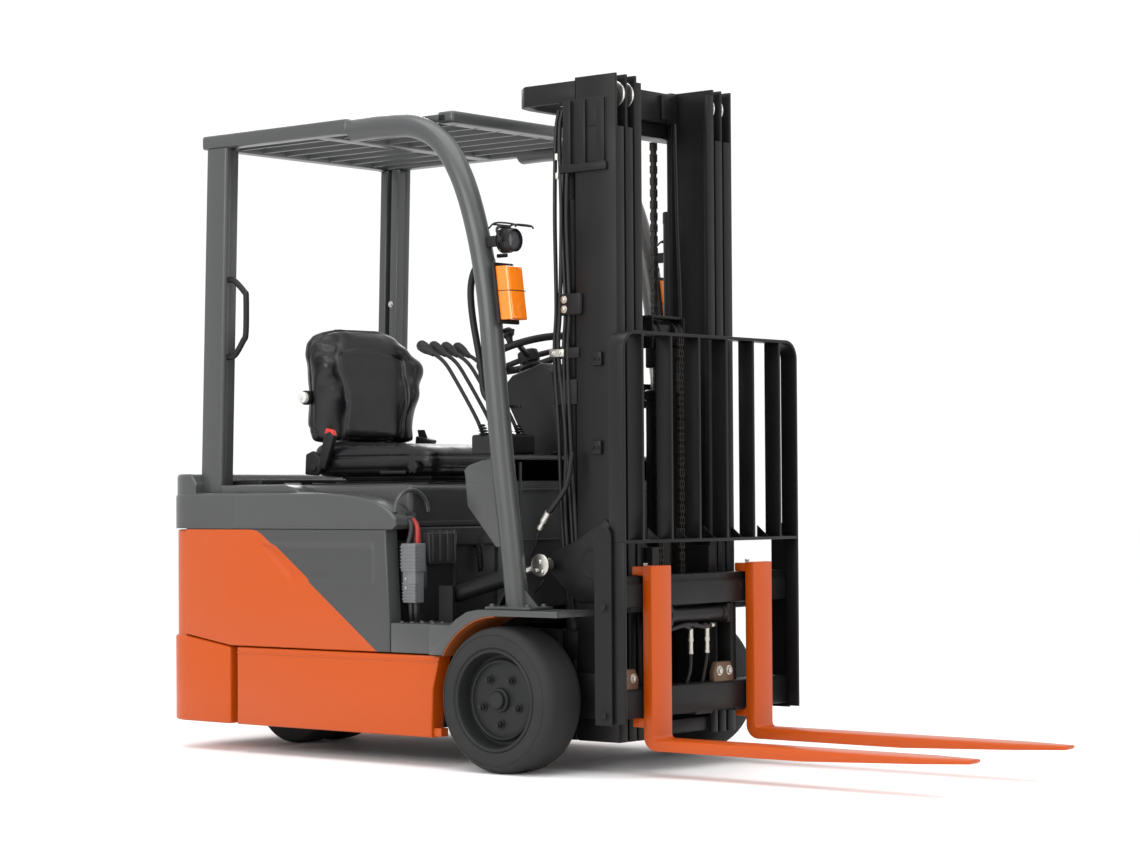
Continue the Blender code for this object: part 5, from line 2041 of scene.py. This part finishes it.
# Smooth value at height z from rows of (height, value)
def follow(rows, z):
    if z <= rows[0][0]:
        return rows[0][1]
    for (z0, w0), (z1, w1) in zip(rows, rows[1:]):
        if z <= z1:
            return w0 + (w1 - w0) * smoothStep(z, z0, z1)
    return rows[-1][1]


back = dict(
    foot=1.053,
    head=1.461,
    panel=0.138,
    shell=[
        (1.05, 0.226),
        (1.12, 0.238),
        (1.35, 0.243),
        (1.40, 0.232),
        (1.435, 0.205),
        (1.452, 0.165),
        (1.462, 0.110),
    ],
    face=[
        (1.05, 0.214),
        (1.10, 0.204),
        (1.17, 0.200),
        (1.24, 0.218),
        (1.305, 0.250),
        (1.345, 0.247),
        (1.385, 0.214),
        (1.43, 0.180),
        (1.462, 0.100),
    ],
    rear=[(1.05, -1.140), (1.12, -1.152), (1.38, -1.158), (1.435, -1.146), (1.462, -1.112)],
    front=[
        (1.05, -1.030),
        (1.12, -1.040),
        (1.20, -1.036),
        (1.30, -1.052),
        (1.38, -1.062),
        (1.43, -1.072),
        (1.462, -1.096),
    ],
    wing=[
        (1.05, 0.030),
        (1.12, 0.040),
        (1.24, 0.060),
        (1.32, 0.066),
        (1.38, 0.035),
        (1.43, 0.006),
        (1.462, 0.0),
    ],
)


def makeSeatBack():
    rings = []
    levels = 34
    for i in range(levels):
        t = i / (levels - 1)
        z = back["foot"] + (back["head"] - back["foot"]) * (t + 0.06 * math.sin(2 * math.pi * t) * 0.5)
        shell, face = follow(back["shell"], z) - 0.004, follow(back["face"], z) - 0.004
        rear, front, wing = (follow(back[name], z) for name in ("rear", "front", "wing"))
        ring = []
        for k in range(80):
            a = 2 * math.pi * k / 80
            ca, sa = math.cos(a), math.sin(a)
            ahead = 0.5 + 0.5 * math.copysign(abs(ca) ** 0.34, ca)
            half = shell + (face - shell) * smoothStep(ahead, 0.35, 0.95)
            y = half * math.copysign(abs(sa) ** 0.38, sa)
            reach = front + wing * smoothStep(abs(y) / face, 0.58, 0.86)
            ring.append((rear + (reach - rear) * ahead, y, z))
        rings.append(ring)
    obj = stuffed("seatBack", [loft(rings)], "hood", "seat_back", 0.010)

    def shape(p, normal):
        out = Vector((0, 0, 0))
        panel = back["panel"] + 0.016 * smoothStep(p.z, 1.10, 1.34)
        ahead = p.x > follow(back["front"], p.z) - 0.030
        if normal.x > 0.15 and ahead:
            low = 1.372 - 0.9 * max(0, abs(p.y) - 0.06) ** 1.5
            across = groove(abs(p.y) - panel, 0.0055, 0.0085) if p.z < low + 0.004 else 0
            top = groove(p.z - low, 0.0055, 0.0085) if abs(p.y) < panel else 0
            inset = -0.006 * smoothStep(panel - abs(p.y), 0.0, 0.014) * smoothStep(low - p.z, 0.0, 0.014)
            out += normal * (min(across, top) + inset)
        side = follow(back["shell"], p.z)
        if abs(normal.y) > 0.5 or (normal.z > 0.4 and abs(p.y) < side):
            line = p.x - (follow(back["rear"], p.z) + 0.052)
            out += normal * groove(line, 0.0045, 0.0055)
        if normal.x < -0.3:
            out += normal * groove(side - abs(p.y) - 0.022, 0.0045, 0.0040)
            out += normal * groove(p.z - 1.100, 0.0045, 0.0040)
        return out

    finishPad(obj, shape)


def makeCushion():
    rear, front, half = seat["rear"] + 0.006, seat["front"] - 0.006, seat["half"] - 0.010
    rings = []
    levels = 17
    for i in range(levels):
        t = i / (levels - 1)
        z = seat["low"] + 0.005 + (seat["top"] - 0.010 - seat["low"]) * t
        edge = 0.020 * (1 - math.sqrt(max(0, 1 - abs(2 * t - 1) ** 3)))
        ring = []
        for k in range(120):
            a = 2 * math.pi * (k + 0.5) / 120
            ca, sa = math.cos(a), math.sin(a)
            mid, reach = (rear + front) / 2, (front - rear) / 2 - edge
            x = mid + reach * math.copysign(abs(ca) ** 0.14, ca)
            y = (half - edge) * math.copysign(abs(sa) ** 0.14, sa)
            along = (x - rear) / (front - rear)
            roll = -0.026 * smoothStep(along, 0.72, 1.0) * t * t
            dish = -0.016 * smoothStep(0.78 - abs(y) / half, 0, 0.3) * smoothStep(t, 0.6, 1.0) * smoothStep(
                0.9 - along, 0, 0.2,
            )
            ring.append((x, y, z + roll + dish))
        rings.append(ring)
    obj = stuffed("seatCushion", [loft(rings)], "hood", "seat_cushion", 0.009)

    def shape(p, normal):
        out = Vector((0, 0, 0))
        if normal.z > 0.35:
            side = abs(p.y) - 0.160
            low = p.x + 0.660
            rows = groove(side, 0.0060, 0.0080) if low < 0 else 0
            front = groove(low, 0.0060, 0.0080) if abs(p.y) < 0.160 else 0
            mid = groove(p.x + 0.840 - 0.3 * p.y * p.y, 0.006, 0.004) if abs(p.y) < 0.160 else 0
            out += normal * (min(rows, front) + mid)
        elif abs(normal.z) < 0.6:
            out += normal * groove(p.z - 0.998, 0.0045, 0.0060)
            out += normal * groove(p.z - 0.955, 0.0040, 0.0030)
        return out

    finishPad(obj, shape)


def makeSeatFittings():
    low, high = 0.9003, 0.9317
    folds = []
    for i in range(2):
        z0 = low + 0.010 + (high - low - 0.016) * i / 2
        z1 = z0 + (high - low - 0.016) / 2
        folds.append(rounded(box((-0.986, -0.584), (-0.186, 0.186), (z0 + 0.0005, z1 - 0.0005)), 0.0045, 2))
    folds.append(box((-0.978, -0.592), (-0.178, 0.178), (low + 0.001, high - 0.001)))
    folds.append(rounded(box((-1.090, -0.545), (-0.246, 0.246), (low, low + 0.010)), 0.003, 2))
    folds.append(rounded(box((-0.992, -0.578), (-0.192, 0.192), (high - 0.007, high)), 0.002, 2))
    piece("seatBellows", "hood", "black_plastic", folds, "seat_suspension")
    trims, white, black, red = [], [], [], []
    for _, sign in sides:
        cover = [
            (-1.112, 0.940),
            (-1.050, 0.936),
            (-1.030, 0.960),
            (-1.040, 1.000),
            (-1.075, 1.022),
            (-1.108, 1.010),
        ]
        trims.append(rounded(slab(cover, "y", sign * 0.240, sign * 0.257), 0.006, 3))
        trims.append(
            rounded(bar((-1.066, sign * 0.250, 0.962), (-1.066, sign * 0.264, 0.962), 0.013, 24), 0.003, 2),
        )
    white.append(rounded(bar((-1.122, -0.240, 1.206), (-1.122, -0.260, 1.206), 0.020, 32), 0.004, 3))
    white += nut((-1.122, -0.260, 1.206), (0, -1, 0), 0.012, 0.003, False)
    black.append(rounded(bar((-1.122, -0.226, 1.206), (-1.122, -0.246, 1.206), 0.025, 32), 0.003, 2))
    black.append(rounded(bar((-0.600, -0.244, 0.962), (-0.600, -0.262, 0.962), 0.020, 28), 0.004, 3))
    for i in range(6):
        a = math.radians(60 * i)
        black.append(
            bar(
                (-0.600 + 0.019 * math.cos(a), -0.246, 0.962 + 0.019 * math.sin(a)),
                (-0.600 + 0.019 * math.cos(a), -0.261, 0.962 + 0.019 * math.sin(a)),
                0.0045,
                10,
            ),
        )
    black.append(rounded(box((-0.760, -0.640), (-0.253, -0.240), (0.938, 0.950)), 0.004, 3))
    buckle = [
        (-1.040, 0.965),
        (-1.012, 0.955),
        (-0.985, 1.020),
        (-0.965, 1.072),
        (-0.985, 1.088),
        (-1.010, 1.080),
        (-1.030, 1.020),
    ]
    black.append(rounded(slab(buckle, "y", -0.262, -0.240), 0.005, 3))
    black.append(
        rounded(
            slab([(-1.045, 1.030), (-0.975, 1.040), (-0.965, 1.062), (-1.040, 1.078)], "y", 0.225, 0.262),
            0.006,
            3,
        ),
    )
    red.append(
        rounded(
            slab([(-1.012, 1.078), (-0.966, 1.072), (-0.976, 1.092), (-1.006, 1.098)], "y", -0.260, -0.242),
            0.003,
            2,
        ),
    )
    piece("seatTrims", "hood", "black_plastic", trims + black)
    piece("seatKnob", "hood", "knob_white", white)
    piece("beltButton", "hood", "belt_red", red)
    strap = slab([(-1.040, 1.060), (-0.995, 1.060), (-1.015, 1.100), (-1.050, 1.100)], "y", 0.246, 0.249)
    piece("seatBelt", "hood", "black_cable", [rounded(strap, 0.001, 1)])


makeSeatBack()
makeCushion()
makeSeatFittings()
print("seat made")


# studio
studio = dict(floor=(0.95, 0.95, 0.95), world=(1, 1, 1), worldPower=1.06)


def makeFloor():
    bm = bmesh.new()
    bmesh.ops.create_grid(bm, x_segments=1, y_segments=1, size=60)
    mesh = bpy.data.meshes.new("studioFloor")
    bm.to_mesh(mesh)
    obj = bpy.data.objects.new("studioFloor", mesh)
    bpy.context.scene.collection.objects.link(obj)
    n = Nodes("studioFloor")
    mesh.materials.append(n.set(Base_Color=(*studio["floor"], 1), Roughness=0.6))


def areaLight(name, place, aim, size, power):
    data = bpy.data.lights.new(name, "AREA")
    data.shape = "RECTANGLE"
    data.size, data.size_y = size
    data.energy = power
    obj = bpy.data.objects.new(name, data)
    bpy.context.scene.collection.objects.link(obj)
    obj.location = place
    obj.rotation_euler = (Vector(aim) - Vector(place)).to_track_quat("-Z", "Y").to_euler()


makeFloor()
areaLight("overhead", (0.5, -1.0, 5.2), (-0.2, 0, 0.6), (5, 4), 190)
areaLight("rightSide", (0.2, -6.5, 3.2), (-0.3, 0, 0.9), (5, 2.5), 200)
areaLight("front", (6.5, -1.0, 3.0), (0, 0, 1.0), (2.5, 3), 60)
areaLight("rear", (-4.5, 4.0, 4.0), (0, 0, 1.2), (3, 2), 80)
world = bpy.data.worlds.new("studio")
world.use_nodes = True
world.node_tree.nodes["Background"].inputs["Color"].default_value = (*studio["world"], 1)
world.node_tree.nodes["Background"].inputs["Strength"].default_value = studio["worldPower"]
bpy.context.scene.world = world

bpy.context.scene.view_settings.view_transform = "Standard"
view = dict(place=(5.691, -6.976, 0.872), yaw=39.79, pitch=1.418, roll=-0.35, lens=87.14)


def makeCamera():
    yaw, pitch, roll = (math.radians(view[name]) for name in ("yaw", "pitch", "roll"))
    ahead = Vector((-math.sin(yaw) * math.cos(pitch), math.cos(yaw) * math.cos(pitch), math.sin(pitch)))
    right = Vector((math.cos(yaw), math.sin(yaw), 0))
    up = right.cross(ahead)
    rightTurned = math.cos(roll) * right + math.sin(roll) * up
    upTurned = rightTurned.cross(ahead)
    turn = Matrix((rightTurned, upTurned, -ahead)).transposed()
    data = bpy.data.cameras.new("camera")
    data.lens = view["lens"]
    data.sensor_width = 36
    data.clip_end = 200
    obj = bpy.data.objects.new("camera", data)
    bpy.context.scene.collection.objects.link(obj)
    obj.matrix_world = Matrix.Translation(view["place"]) @ turn.to_4x4()
    bpy.context.scene.camera = obj


makeCamera()
